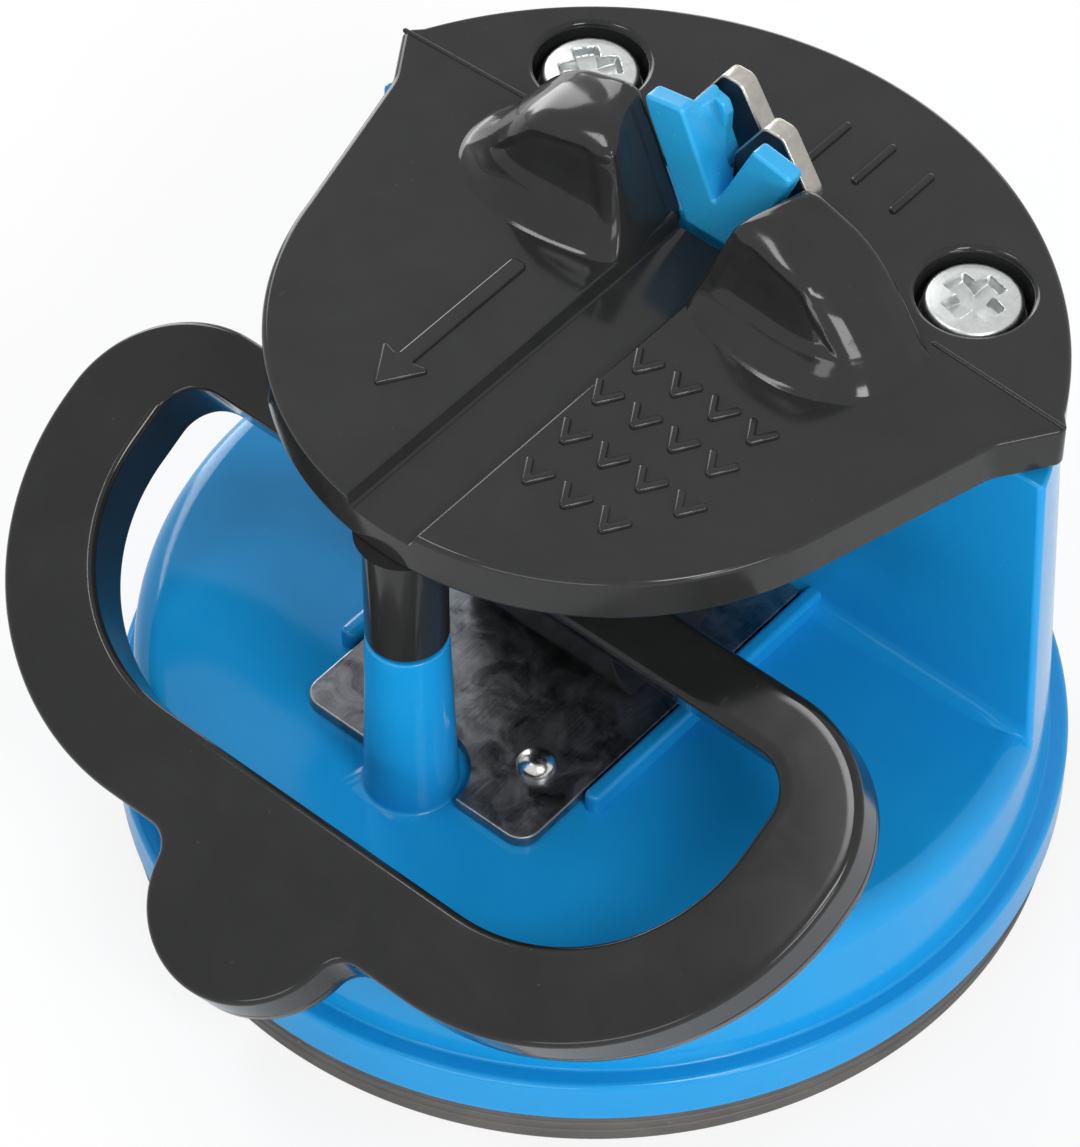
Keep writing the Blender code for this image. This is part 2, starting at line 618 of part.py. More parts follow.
def make_blade_holder():
    holder = flat_solid("blade_holder", [chevron(0.0, 0.0, 0.0)], CHEVRON_THICKNESS,
                        upright(HOLDER_FRONT))
    overlap = CHEVRON_THICKNESS / 3
    back_depth = HOLDER_FRONT + CHEVRON_THICKNESS
    layer = flat_solid("holder_layer", [chevron(ARM_STEP, ARM_INSET, ARM_INSET)],
                       BACK_LAYER_THICKNESS + overlap, upright(back_depth - overlap))
    rear = back_depth + BACK_LAYER_THICKNESS
    foot_front = HOLDER_FRONT + ARM_INSET
    foot = flat_solid("holder_foot", [foot_outline()],
                      rear + REAR_BLOCK_THICKNESS - foot_front, upright(foot_front))
    spine = box("holder_spine",
                (-SPINE_HALF_WIDTH, rear - overlap, COVER_UNDERSIDE + HOLDER_FLANGE_THICKNESS),
                (SPINE_HALF_WIDTH, rear + REAR_BLOCK_THICKNESS - ARM_INSET,
                 COVER_TOP + SPINE_RISE))
    join(holder, layer, foot, spine)
    cut(holder, carbide_plate("carbide_pocket_left", -1, GAP),
        carbide_plate("carbide_pocket_right", 1, GAP))
    return finish(holder, blue)


def make_wear_plate():
    """A flat plate from the post back to the tower, notched round the post and holed."""
    rear = TOWER_FRONT - GAP
    front = PLATE_FRONT
    corner = arc((PLATE_HALF_WIDTH - PLATE_CORNER, front + PLATE_CORNER), PLATE_CORNER,
                 -math.pi / 2, 0, 4)
    outline = both_sides(corner + [(PLATE_HALF_WIDTH, rear)])
    plate = flat_solid("wear_plate", [outline], PLATE_THICKNESS,
                       Matrix.Translation((0, 0, PLATE_BOTTOM)))
    low = PLATE_BOTTOM - OVERRUN
    high = PLATE_TOP + OVERRUN
    notch_radius = BOSS_FOOT_RADIUS + GAP
    cut(plate, cone("post_notch", notch_radius, notch_radius, low, high, (0, PILLAR_BACK)),
        cone("stem_hole", STEM_HOLE_RADIUS, STEM_HOLE_RADIUS, low, high))
    for side, word in ((-1, "left"), (1, "right")):
        cut(plate, cone("plate_hole_" + word, RIVET_SHANK_RADIUS + GAP, RIVET_SHANK_RADIUS + GAP,
                        low, high, (side * RIVET_SIDE, RIVET_BACK), steps=12))
    return finish(plate, dark_steel)


def make_plate_rivet(name, side):
    """A domed rivet, its head on the wear plate and its shank through the floor."""
    seat = PLATE_TOP + GAP
    dome = [(RIVET_HEAD_RADIUS * math.sin(angle), seat + RIVET_HEAD_HEIGHT * math.cos(angle))
            for angle in (math.pi / 2 * step / 4 for step in range(5))]
    profile = dome + [(RIVET_SHANK_RADIUS, seat), (RIVET_SHANK_RADIUS, seat - RIVET_LENGTH),
                      (0, seat - RIVET_LENGTH)]
    rivet = turned(name, profile, closed=False, steps=16)
    rivet.location = (side * RIVET_SIDE, RIVET_BACK, 0)
    return finish(rivet, zinc)


def ring_corner(half_width, rear, front, rear_corner, front_corner, steps=8):
    """Right half of a ring outline, from its front straight to its rear straight."""
    side = arc((half_width - front_corner, front - front_corner), front_corner,
               math.pi / 2, 0, steps + 4)
    back = arc((half_width - rear_corner, rear + rear_corner), rear_corner, 0, -math.pi / 2, steps)
    return side + back


def ring_outline(inset):
    """The ring's outer outline with its thumb tab, drawn in by an inset."""
    meeting = math.atan2(TAB_RISE, TAB_FOOT)
    tab = arc((0, RING_FRONT + TAB_CENTRE), TAB_RADIUS - inset, math.pi / 2, meeting, 8)
    hollow = arc((TAB_FOOT, RING_FRONT + TAB_FILLET), TAB_FILLET + inset, math.pi + meeting,
                 3 * math.pi / 2, 4)
    body = ring_corner(RING_HALF_WIDTH - inset, RING_REAR + inset, RING_FRONT - inset,
                       RING_REAR_CORNER - inset, FRONT_CORNER - inset)
    return both_sides(tab + hollow + body)


def ring_hole():
    """The ring's hole, its bars measured in from the outer outline."""
    front = RING_FRONT - RING_FRONT_BAR
    return both_sides(ring_corner(
        RING_HALF_WIDTH - RING_SIDE_BAR, RING_REAR + RING_REAR_BAR, front, HOLE_REAR_CORNER,
        FRONT_CORNER - RING_SIDE_BAR))


def lever_plane():
    """From the ring's own plane, with its outline reaching forwards, to the lever's place."""
    forward = Vector((0, -math.cos(LEVER_TILT), -math.sin(LEVER_TILT)))
    normal = Vector((0, -math.sin(LEVER_TILT), math.cos(LEVER_TILT)))
    side = Vector((1, 0, 0))
    return Matrix((side, forward, normal)).transposed().to_4x4()


def cam_point(angle):
    """A point of the cam's sole: its reach below the pivot falls evenly with the angle."""
    reach = CAM_REST_RADIUS - CAM_LIFT_PER_RADIAN * angle
    back = reach * math.sin(angle) - CAM_LIFT_PER_RADIAN * math.cos(angle)
    height = -reach * math.cos(angle) - CAM_LIFT_PER_RADIAN * math.sin(angle)
    return back, height


def ring_point(forward, offset):
    """A point of the ring's section, as back and height from the pivot."""
    back = -forward * math.cos(LEVER_TILT) - offset * math.sin(LEVER_TILT)
    height = -forward * math.sin(LEVER_TILT) + offset * math.cos(LEVER_TILT)
    return back, height


def hub_outline():
    """The hub from the side: cam sole at the bottom and rear, and a neck up to the ring."""
    cam = [cam_point(CAM_START_ANGLE + (CAM_END_ANGLE - CAM_START_ANGLE) * step / CAM_STEPS)
           for step in range(CAM_STEPS + 1)]
    rear_back, rear_height = cam[-1]
    inset = RING_EDGE_ROUND + GAP
    ring_rear = ring_point(RING_REAR + inset, RING_OFFSET - inset / 2)
    ring_mid = ring_point(RING_REAR + RING_REAR_BAR / 2, RING_OFFSET - inset / 2)
    ring_low = ring_point(RING_REAR + RING_REAR_BAR / 2, RING_OFFSET - RING_THICKNESS)
    sole = -CAM_REST_RADIUS
    top = [(rear_back - HUB_TOP / 2, rear_height + HUB_TOP * 2 / 3), (0, HUB_TOP), ring_rear,
           ring_mid, ring_low]
    front = [(-SOLE_REACH - SOLE_ROUND, sole + SOLE_ROUND * 2), (-SOLE_REACH, sole)]
    return cam + top + front


def make_lever():
    plane = lever_plane()
    plate = flat_solid("lever", [ring_outline(0.0), ring_hole()], SKIRT_THICKNESS,
                       plane @ Matrix.Translation((0, 0, RING_OFFSET - SKIRT_THICKNESS)), lever_turn)
    round_edges(plate, RING_EDGE_ROUND, segments=1)
    underside = plane @ Matrix.Translation((0, 0, RING_OFFSET - SKIRT_THICKNESS - OVERRUN))
    pocket = flat_solid("lever_underside", [ring_outline(SKIRT_WIDTH)],
                        SKIRT_THICKNESS - RING_THICKNESS + OVERRUN, underside, lever_turn)
    sideways = Matrix(((0, 0, 1, -HUB_HALF_WIDTH), (1, 0, 0, 0), (0, 1, 0, 0), (0, 0, 0, 1)))
    hub = flat_solid("hub", [hub_outline()], 2 * HUB_HALF_WIDTH, sideways, lever_turn)
    slot_half = STEM_RADIUS + GAP
    reach = CAM_REST_RADIUS + OVERRUN
    slot = box("stem_slot", (-slot_half, -STEM_EYE_RADIUS - 2 * GAP, -reach),
               (slot_half, reach, reach), lever_turn)
    bore = cross_cylinder("pin_bore", PIN_RADIUS + GAP, HUB_HALF_WIDTH + OVERRUN, lever_turn)
    cut(plate, pocket)
    join(plate, hub)
    cut(plate, slot, bore)
    return finish(plate, black)


def make_lever_pin():
    pin = cross_cylinder("lever_pin", PIN_RADIUS, HUB_HALF_WIDTH - PIN_INSET, lever_turn)
    return finish(pin, zinc)


def make_suction_stem():
    """A round rod with a foot in the cup and a flat eye for the pin."""
    foot_top = STEM_FOOT_HEIGHT + STEM_FOOT_THICKNESS
    profile = [(0, PIVOT_HEIGHT), (STEM_RADIUS, PIVOT_HEIGHT), (STEM_RADIUS, foot_top),
               (STEM_FOOT_RADIUS, foot_top), (STEM_FOOT_RADIUS, STEM_FOOT_HEIGHT),
               (0, STEM_FOOT_HEIGHT)]
    stem = turned("suction_stem", profile, closed=False, steps=ROUND_STEPS, parent=stem_slide)
    eye = cross_cylinder("stem_eye", STEM_EYE_RADIUS, STEM_RADIUS - GAP / 10, lever_turn)
    bore = cross_cylinder("eye_bore", PIN_RADIUS + GAP, STEM_RADIUS + OVERRUN, lever_turn)
    join(stem, eye)
    cut(stem, bore)
    return finish(stem, grey_plastic)


def make_suction_cup():
    """A rubber cup: flat rim under the shell, domed web, and a boss that holds the stem."""
    hollow_radius = STEM_FOOT_RADIUS + GAP
    hollow_bottom = STEM_FOOT_HEIGHT - GAP
    hollow_top = STEM_FOOT_HEIGHT + STEM_FOOT_THICKNESS + GAP
    neck = STEM_RADIUS + GAP
    boss_radius = hollow_radius + CUP_BOSS_WALL
    boss_top = hollow_top + CUP_BOSS_WALL
    underside = hollow_bottom - CUP_WALL
    step_radius = SHELL_INNER_RADIUS - GAP
    foot_inner = CUP_RADIUS - CUP_FOOT_WIDTH
    web_outer = step_radius - CUP_STEP_WIDTH
    edge = arc((CUP_RADIUS - CUP_EDGE_ROUND, CUP_EDGE_ROUND), CUP_EDGE_ROUND, 0, -math.pi / 2, 2)
    profile = ([(0, boss_top), (boss_radius, boss_top), (boss_radius, underside + CUP_WALL),
                (web_outer, RIM_TOP), (web_outer, RIM_TOP + CUP_STEP_HEIGHT),
                (step_radius, RIM_TOP + CUP_STEP_HEIGHT), (step_radius, RIM_TOP),
                (CUP_RADIUS, RIM_TOP)] + edge
               + [(foot_inner, 0), (CUP_DOME_RADIUS, underside), (0, underside)])
    cup = turned("suction_cup", profile, closed=False)
    hollow = cone("cup_hollow", hollow_radius, hollow_radius, hollow_bottom, hollow_top)
    opening = cone("cup_neck", neck, neck, hollow_top - GAP, boss_top + OVERRUN)
    cut(cup, hollow, opening)
    return finish(cup, rubber)


make_base_shell()
make_top_cover()
make_blade_holder()
make_wear_plate()
for side_name, side_sign in (("left", -1), ("right", 1)):
    make_cover_screw("cover_screw_" + side_name, side_sign)
    make_carbide("carbide_" + side_name, side_sign)
    make_plate_rivet("plate_rivet_" + side_name, side_sign)
make_lever()
make_lever_pin()
make_suction_stem()
make_suction_cup()
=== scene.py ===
# Suction-base knife sharpener: fine surfaces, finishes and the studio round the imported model
import math

import bmesh
import bpy
import numpy as np
from mathutils import Matrix, Vector


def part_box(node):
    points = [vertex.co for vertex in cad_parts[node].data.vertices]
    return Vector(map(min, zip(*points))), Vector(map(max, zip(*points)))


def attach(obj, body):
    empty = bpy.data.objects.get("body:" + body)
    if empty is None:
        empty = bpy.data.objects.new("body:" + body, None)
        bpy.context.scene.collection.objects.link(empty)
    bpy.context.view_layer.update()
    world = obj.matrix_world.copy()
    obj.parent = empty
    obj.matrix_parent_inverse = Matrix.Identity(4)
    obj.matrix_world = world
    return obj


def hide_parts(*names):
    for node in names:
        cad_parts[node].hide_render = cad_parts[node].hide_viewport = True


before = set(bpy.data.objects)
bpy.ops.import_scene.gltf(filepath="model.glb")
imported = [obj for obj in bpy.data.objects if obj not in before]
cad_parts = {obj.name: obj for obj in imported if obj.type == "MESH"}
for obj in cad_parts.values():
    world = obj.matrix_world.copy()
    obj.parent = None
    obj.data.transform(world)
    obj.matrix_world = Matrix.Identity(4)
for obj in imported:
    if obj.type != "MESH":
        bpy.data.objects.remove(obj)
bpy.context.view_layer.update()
mm = 0.001

cupLow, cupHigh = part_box("suction_cup")
axisShift = np.array([0.0, (cupLow.y + cupHigh.y) / 2 / mm, 0.0])   # the base's own axis


def boxOf(node):
    # lowest and highest corner of a node, in millimetres from the base's axis
    low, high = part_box(node)
    return np.array(low) / mm - axisShift, np.array(high) / mm - axisShift


gap = 0.3   # clearance between moulded parts
overrun = 1.0   # how far a cutter passes the face that it opens
hair = 0.02   # keeps two faces from lying in one plane
sharpFrom = 34   # edges steeper than this many degrees stay sharp
floorTop = boxOf("wear_plate")[0][2] - gap
plateTop = boxOf("wear_plate")[1][2]
shellBottom, towerTop = boxOf("base_shell")[0][2], boxOf("base_shell")[1][2]
baseRadius = boxOf("base_shell")[1][0]
coverUnder = boxOf("blade_holder")[0][2]
coverThickness, grooveDepth = 3.4, 1.0
coverTop = coverUnder + coverThickness
grooveFloor = coverTop - grooveDepth
pivotHeight = (boxOf("lever_pin")[0][2] + boxOf("lever_pin")[1][2]) / 2
pillarBack = -18.2
screwSide, screwBack = 15.9, 18.2
rivetSide, rivetBack = 6.1, -12.8
bothNames = ((-1, "left"), (1, "right"))
print("frame loaded, base axis at y =", round(float(axisShift[1]), 2), "mm")


# Points are worked out in millimetres round the base's axis, and placed in metres at the end

def gridFaces(rows, columns, closeRows, closeColumns):
    # one four-sided face for each cell between neighbouring rows and columns
    i = np.arange(rows if closeRows else rows - 1)[:, None]
    j = np.arange(columns if closeColumns else columns - 1)[None, :]
    i, j = np.broadcast_arrays(i, j)
    nextI, nextJ = (i + 1) % rows, (j + 1) % columns
    cells = [i * columns + j, i * columns + nextJ, nextI * columns + nextJ, nextI * columns + j]
    return np.stack(cells, -1).reshape(-1, 4)


def skin(grid, closeRows=False, closeColumns=True, caps=False):
    # a grid of points as one surface; caps close its first and last rows
    rows, columns = grid.shape[:2]
    faces = gridFaces(rows, columns, closeRows, closeColumns).tolist()
    if caps:
        faces.append(list(range(columns))[::-1])
        faces.append(list(range((rows - 1) * columns, rows * columns)))
    return grid.reshape(-1, 3), faces


def makeThing(name, *skins):
    # one object from closed surfaces, placed in the frame, its doubles merged and faces outwards
    points = np.concatenate([part[0] for part in skins])
    faces = []
    start = 0
    for part in skins:
        faces += [[start + corner for corner in face] for face in part[1]]
        start += len(part[0])
    mesh = bpy.data.meshes.new(name)
    mesh.from_pydata(((points + axisShift) * mm).tolist(), [], faces)
    made = bmesh.new()
    made.from_mesh(mesh)
    bmesh.ops.remove_doubles(made, verts=made.verts, dist=1e-7)
    bmesh.ops.recalc_face_normals(made, faces=made.faces)
    made.to_mesh(mesh)
    made.free()
    thing = bpy.data.objects.new(name, mesh)
    bpy.context.scene.collection.objects.link(thing)
    return thing


def shaped(target, operation, *tools):
    # joins the tools to the target or cuts them out of it, and keeps the result
    for tool in tools:
        step = target.modifiers.new(tool.name, "BOOLEAN")
        step.operation = operation
        step.solver = "EXACT"
        step.object = tool
    bpy.context.view_layer.update()
    graph = bpy.context.evaluated_depsgraph_get()
    result = bpy.data.meshes.new_from_object(target.evaluated_get(graph))
    target.modifiers.clear()
    target.data = result
    for tool in tools:
        bpy.data.objects.remove(tool)
    return target


def finishPiece(thing, body, slot, material, *replaced):
    thing.data.materials.clear()
    thing.data.materials.append(material)
    thing.data.shade_smooth()
    thing.data.set_sharp_from_angle(angle=math.radians(sharpFrom))
    even = thing.modifiers.new("even normals", "WEIGHTED_NORMAL")
    even.keep_sharp = True
    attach(thing, body)
    if replaced:
        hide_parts(*replaced)
    return thing


def arc(x, y, radius, start, end, count):
    # points at even angles, in degrees, round a centre
    angle = np.radians(np.linspace(start, end, count))
    return np.stack([x + radius * np.cos(angle), y + radius * np.sin(angle)], -1)


def quarter(count):
    # even angles of a quarter circle
    return np.linspace(0, math.pi / 2, count)


def bend(x, y, across, up, count, uprightFirst=False):
    # quarter circle round the sharp corner (x, y), from its level side, which runs across, to its
    # upright side, or the other way
    level, upright = 1 - np.sin(quarter(count)), 1 - np.cos(quarter(count))
    if uprightFirst:
        level, upright = upright, level
    return np.stack([x + across * level, y + up * upright], -1)


def rounded(corners, steps=7):
    # closed outline whose corners (x, y, radius) become arcs that touch both their sides; an arc
    # takes less than half of a side, and a corner that is almost straight stays a point
    mostOfSide, straight = 0.49, math.radians(89.5)
    corners = np.asarray(corners, float)
    pieces = []
    for here, last, following in zip(corners, np.roll(corners, 1, 0), np.roll(corners, -1, 0)):
        point, radius = here[:2], here[2]
        toLast, toNext = last[:2] - point, following[:2] - point
        reach = min(np.linalg.norm(toLast), np.linalg.norm(toNext)) * mostOfSide
        toLast /= np.linalg.norm(toLast)
        toNext /= np.linalg.norm(toNext)
        half = math.acos(np.clip(toLast @ toNext, -1, 1)) / 2
        if radius <= 0 or half > straight:
            pieces.append(point[None])
            continue
        tangent = min(radius / math.tan(half), reach)
        radius = tangent * math.tan(half)
        middle = (toLast + toNext) / np.linalg.norm(toLast + toNext)
        centre = point + middle * radius / math.sin(half)
        first, final = point + toLast * tangent - centre, point + toNext * tangent - centre
        share = np.linspace(0, 1, steps)[:, None]
        span = math.pi - 2 * half
        swing = (np.sin((1 - share) * span) * first + np.sin(share * span) * final) / math.sin(span)
        pieces.append(centre + swing)
    return tidyOutline(np.concatenate(pieces))


def tidyOutline(outline):
    # drops points that lie on their neighbour, and runs the outline anticlockwise
    apart = np.linalg.norm(outline - np.roll(outline, 1, 0), axis=1) > 1e-4
    outline = outline[apart]
    following = np.roll(outline, -1, 0)
    area = (outline[:, 0] * following[:, 1] - outline[:, 1] * following[:, 0]).sum()
    return outline if area > 0 else outline[::-1]


def rectangle(left, front, right, back, frontRound=0, backRound=0, steps=7):
    # an outline with its two front and its two rear corners rounded
    return rounded([(left, front, frontRound), (right, front, frontRound),
                    (right, back, backRound), (left, back, backRound)], steps)


def bothSides(rightHalf):
    # a closed outline from its right half and the mirror of it
    return tidyOutline(np.concatenate([rightHalf, (rightHalf * [-1, 1])[::-1]]))


def mitres(outline):
    # inward moves for an inset of one, along the bisector of each corner
    side = np.roll(outline, -1, 0) - outline
    side /= np.linalg.norm(side, axis=1, keepdims=True)
    inward = np.stack([-side[:, 1], side[:, 0]], -1)
    before = np.roll(inward, 1, 0)
    return (inward + before) / (1 + (inward * before).sum(1, keepdims=True))


def carried(outline, section):
    # a section of (inset, height) carried round an outline: a row of points for each of its points
    moves = mitres(outline)
    flat = outline[None] + moves[None] * section[:, 0, None, None]
    height = np.broadcast_to(section[:, 1, None, None], flat.shape[:2] + (1,))
    return np.concatenate([flat, height], -1)


def edgeSection(low, high, lowRound, highRound, steps=6):
    # straight side with a quarter circle at its bottom and top edge
    under = bend(0, low, lowRound, lowRound, steps)
    over = bend(0, high, highRound, -highRound, steps, uprightFirst=True)
    return np.concatenate([under if lowRound else under[:1], over if highRound else over[:1]])


def slab(outline, low, high, lowRound=0.0, highRound=0.0, steps=6):
    # a flat outline with thickness and rounded edges
    return skin(carried(outline, edgeSection(low, high, lowRound, highRound, steps)), caps=True)


def stood(part):
    # turns a slab of (x, height) upright, its thickness running back
    return part[0][:, [0, 2, 1]], part[1]


def lathe(profile, centre=(0.0, 0.0), steps=96, closed=False):
    # radius and height carried round an upright axis
    profile = np.asarray(profile, float)
    turn = np.linspace(0, 2 * math.pi, steps, endpoint=False)
    radius = profile[:, :1]
    x = centre[0] + radius * np.cos(turn)
    y = centre[1] + radius * np.sin(turn)
    height = np.broadcast_to(profile[:, 1:], x.shape)
    return skin(np.stack([x, y, height], -1), closeRows=closed)


def rod(radius, low, high, centre=(0.0, 0.0), steps=48):
    # a plain round cutter
    return lathe([(0, low), (radius, low), (radius, high), (0, high)], centre, steps)


def throughPoints(control, count):
    # a smooth curve through control points along the first axis (each span a cubic whose slope
    # at a point is half the step between that point's neighbours)
    control = np.asarray(control, float)
    first, last = 2 * control[:1] - control[1:2], 2 * control[-1:] - control[-2:-1]
    padded = np.concatenate([first, control, last])
    at = np.linspace(0, len(control) - 1, count)
    span = np.minimum(at.astype(int), len(control) - 2)
    f = (at - span).reshape((-1,) + (1,) * (control.ndim - 1))
    a, b, c, d = padded[span], padded[span + 1], padded[span + 2], padded[span + 3]
    return b + 0.5 * f * (c - a + f * (2 * a - 5 * b + 4 * c - d + f * (3 * (b - c) + d - a)))


def softStep(low, high, value):
    # rises smoothly from 0 at low to 1 at high
    share = np.clip((value - low) / (high - low), 0, 1)
    return share * share * (3 - 2 * share)


# Finishes. Patterns read Object coordinates, scaled so that one unit is a millimetre

def newNode(tree, kind, **values):
    node = tree.nodes.new(kind)
    for name, value in values.items():
        setattr(node, name, value)
    return node


def link(tree, source, target):
    tree.links.new(source, target)


def feed(tree, socket, value):
    # a plain value is set, another node's output is linked
    if isinstance(value, bpy.types.NodeSocket):
        link(tree, value, socket)
    else:
        socket.default_value = value


def noise(tree, vector, scale, detail=3.0, roughness=0.55, distortion=0.0):
    node = newNode(tree, "ShaderNodeTexNoise")
    for name, value in (("Vector", vector), ("Scale", scale), ("Detail", detail),
                        ("Roughness", roughness), ("Distortion", distortion)):
        feed(tree, node.inputs[name], value)
    return node.outputs["Fac"]


def ranged(tree, value, fromLow, fromHigh, toLow, toHigh):
    node = newNode(tree, "ShaderNodeMapRange", clamp=True)
    for name, number in (("Value", value), ("From Min", fromLow), ("From Max", fromHigh),
                         ("To Min", toLow), ("To Max", toHigh)):
        feed(tree, node.inputs[name], number)
    return node.outputs["Result"]


def sums(tree, operation, first, second):
    node = newNode(tree, "ShaderNodeMath", operation=operation)
    for place, value in enumerate((first, second)):
        feed(tree, node.inputs[place], value)
    return node.outputs["Value"]


def newGroup(name, inputs, outputs):
    group = bpy.data.node_groups.new(name, "ShaderNodeTree")
    for label, value in inputs:
        socket = group.interface.new_socket(label, in_out="INPUT", socket_type="NodeSocketFloat")
        socket.default_value = value
    for label in outputs:
        group.interface.new_socket(label, in_out="OUTPUT", socket_type="NodeSocketFloat")
    return group, newNode(group, "NodeGroupInput"), newNode(group, "NodeGroupOutput")


def millimetres(tree):
    # Object coordinates in millimetres
    place = newNode(tree, "ShaderNodeTexCoord")
    scale = newNode(tree, "ShaderNodeVectorMath", operation="SCALE")
    link(tree, place.outputs["Object"], scale.inputs[0])
    scale.inputs["Scale"].default_value = 1 / mm
    return scale.outputs["Vector"]


def turnedPlace(tree, place, rotation, scale):
    # coordinates turned and stretched, for scratches and lines that run one way
    turned = newNode(tree, "ShaderNodeMapping")
    for name, value in (("Vector", place), ("Rotation", rotation), ("Scale", scale)):
        feed(tree, turned.inputs[name], value)
    return turned.outputs["Vector"]


def mouldedFinish():
    # what moulded plastic shows: a slow flow of the surface, rub marks, fine scratches and dust
    group, given, taken = newGroup("mouldedFinish", [("Flow", 1.0), ("Scratches", 1.0),
                                                     ("Dust", 1.0)],
                                   ["Rub", "Height", "Specks"])
    place = millimetres(group)
    rub = ranged(group, noise(group, place, 0.16, 5.0, 0.62, 0.6), 0.36, 0.7, 0.0, 1.0)
    flow = noise(group, place, 0.11, 1.0, 0.4)
    pebble = noise(group, place, 5.5, 2.0, 0.6)
    turned = turnedPlace(group, place, (0.3, 0.2, 0.75), (9.0, 0.22, 1.6))
    scratch = ranged(group, noise(group, turned, 0.9, 4.0, 0.7), 0.64, 0.78, 0.0, 1.0)
    cells = newNode(group, "ShaderNodeTexVoronoi", feature="F1")
    link(group, place, cells.inputs["Vector"])
    cells.inputs["Scale"].default_value = 0.62
    where = ranged(group, cells.outputs["Distance"], 0.03, 0.075, 1.0, 0.0)
    chosen = ranged(group, noise(group, place, 0.4, 1.0), 0.5, 0.56, 0.0, 1.0)
    specks = sums(group, "MULTIPLY", where, chosen)
    height = sums(group, "MULTIPLY", flow, given.outputs["Flow"])
    height = sums(group, "ADD", height, sums(group, "MULTIPLY", pebble, 0.012))
    cut = sums(group, "MULTIPLY", scratch, sums(group, "MULTIPLY", given.outputs["Scratches"],
                                                -0.02))
    link(group, rub, taken.inputs["Rub"])
    link(group, sums(group, "ADD", height, cut), taken.inputs["Height"])
    link(group, sums(group, "MULTIPLY", specks, given.outputs["Dust"]), taken.inputs["Specks"])
    return group


def groundFinish():
    # what ground or rolled metal shows: blotches of oil and oxide, and fine lines one way
    group, given, taken = newGroup("groundFinish", [("Blotch Size", 1.0), ("Line Angle", 0.0)],
                                   ["Blotches", "Lines", "Height"])
    place = millimetres(group)
    blotch = noise(group, place, given.outputs["Blotch Size"], 6.0, 0.66, 0.8)
    angle = newNode(group, "ShaderNodeCombineXYZ")
    link(group, given.outputs["Line Angle"], angle.inputs["Z"])
    turned = turnedPlace(group, place, angle.outputs["Vector"], (9.0, 0.35, 9.0))
    lines = noise(group, turned, 1.0, 5.0, 0.7)
    link(group, blotch, taken.inputs["Blotches"])
    link(group, lines, taken.inputs["Lines"])
    rise = sums(group, "ADD", sums(group, "MULTIPLY", lines, 0.5),
                sums(group, "MULTIPLY", blotch, 0.5))
    link(group, rise, taken.inputs["Height"])
    return group


moulded = mouldedFinish()
ground = groundFinish()


def newMaterial(name, look):
    material = bpy.data.materials.new(name)
    material.use_nodes = True
    tree = material.node_tree
    shader = tree.nodes["Principled BSDF"]
    for socket in ("Metallic", "IOR", "Coat Weight", "Coat Roughness", "Specular IOR Level",
                   "Subsurface Weight", "Subsurface Scale"):
        if socket in look:
            shader.inputs[socket].default_value = look[socket]
    if "Subsurface Weight" in look:
        shader.inputs["Subsurface Radius"].default_value = look["radius"]
    return material, tree, shader


def grouped(tree, group, **values):
    node = newNode(tree, "ShaderNodeGroup", node_tree=group)
    for name, value in values.items():
        node.inputs[name.replace("_", " ")].default_value = value
    return node


def mixed(tree, factor, first, second):
    # a colour between two, by a mask; either may be a colour or another node's output
    node = newNode(tree, "ShaderNodeMix", data_type="RGBA")
    link(tree, factor, node.inputs["Factor"])
    for place, value in ((6, first), (7, second)):
        feed(tree, node.inputs[place], (*value, 1) if isinstance(value, tuple) else value)
    return node.outputs[2]


def bumped(tree, shader, height, strength, distance):
    bump = newNode(tree, "ShaderNodeBump")
    bump.inputs["Strength"].default_value = strength
    bump.inputs["Distance"].default_value = distance
    link(tree, height, bump.inputs["Height"])
    link(tree, bump.outputs["Normal"], shader.inputs["Normal"])


def plasticMaterial(name, look):
    material, tree, shader = newMaterial(name, look)
    effect = grouped(tree, moulded, Flow=look["flow"], Scratches=look["scratches"],
                     Dust=look["dust"])
    tone = mixed(tree, effect.outputs["Rub"], look["colour"], look["rubbed"])
    link(tree, mixed(tree, effect.outputs["Specks"], tone, look["speck"]),
         shader.inputs["Base Color"])
    low, high = look["roughness"]
    rough = ranged(tree, effect.outputs["Rub"], 0.0, 1.0, low, high)
    specked = ranged(tree, effect.outputs["Specks"], 0.0, 1.0, 0.0, 0.4)
    link(tree, sums(tree, "ADD", rough, specked), shader.inputs["Roughness"])
    bumped(tree, shader, effect.outputs["Height"], look["bump"], look["depth"] * mm)
    return material


def metalMaterial(name, look):
    material, tree, shader = newMaterial(name, look)
    effect = grouped(tree, ground, Blotch_Size=look["blotch"], Line_Angle=look["angle"])
    spread = ranged(tree, effect.outputs["Blotches"], look["from"], look["to"], 0.0, 1.0)
    tone = mixed(tree, spread, look["colour"], look["stained"])
    # painted shade: where the normal looks along y, on the broad sides of the plates, the colour turns
    # to the dark face colour. This stands in for their shade and their dark reflections
    if "face" in look:
        facing = newNode(tree, "ShaderNodeSeparateXYZ")
        link(tree, newNode(tree, "ShaderNodeTexCoord").outputs["Normal"], facing.inputs[0])
        flat = ranged(tree, sums(tree, "ABSOLUTE", facing.outputs["Y"], 0.0), 0.9, 0.99, 0.0, 1.0)
        tone = mixed(tree, flat, tone, look["face"])
    streaks = ranged(tree, effect.outputs["Lines"], 0.35, 0.68, 0.0, look["streak"])
    link(tree, mixed(tree, streaks, tone, look["bright"]), shader.inputs["Base Color"])
    low, high = look["roughness"]
    link(tree, ranged(tree, effect.outputs["Blotches"], 0.3, 0.7, low, high),
         shader.inputs["Roughness"])
    bumped(tree, shader, effect.outputs["Height"], look["bump"], look["depth"] * mm)
    return material


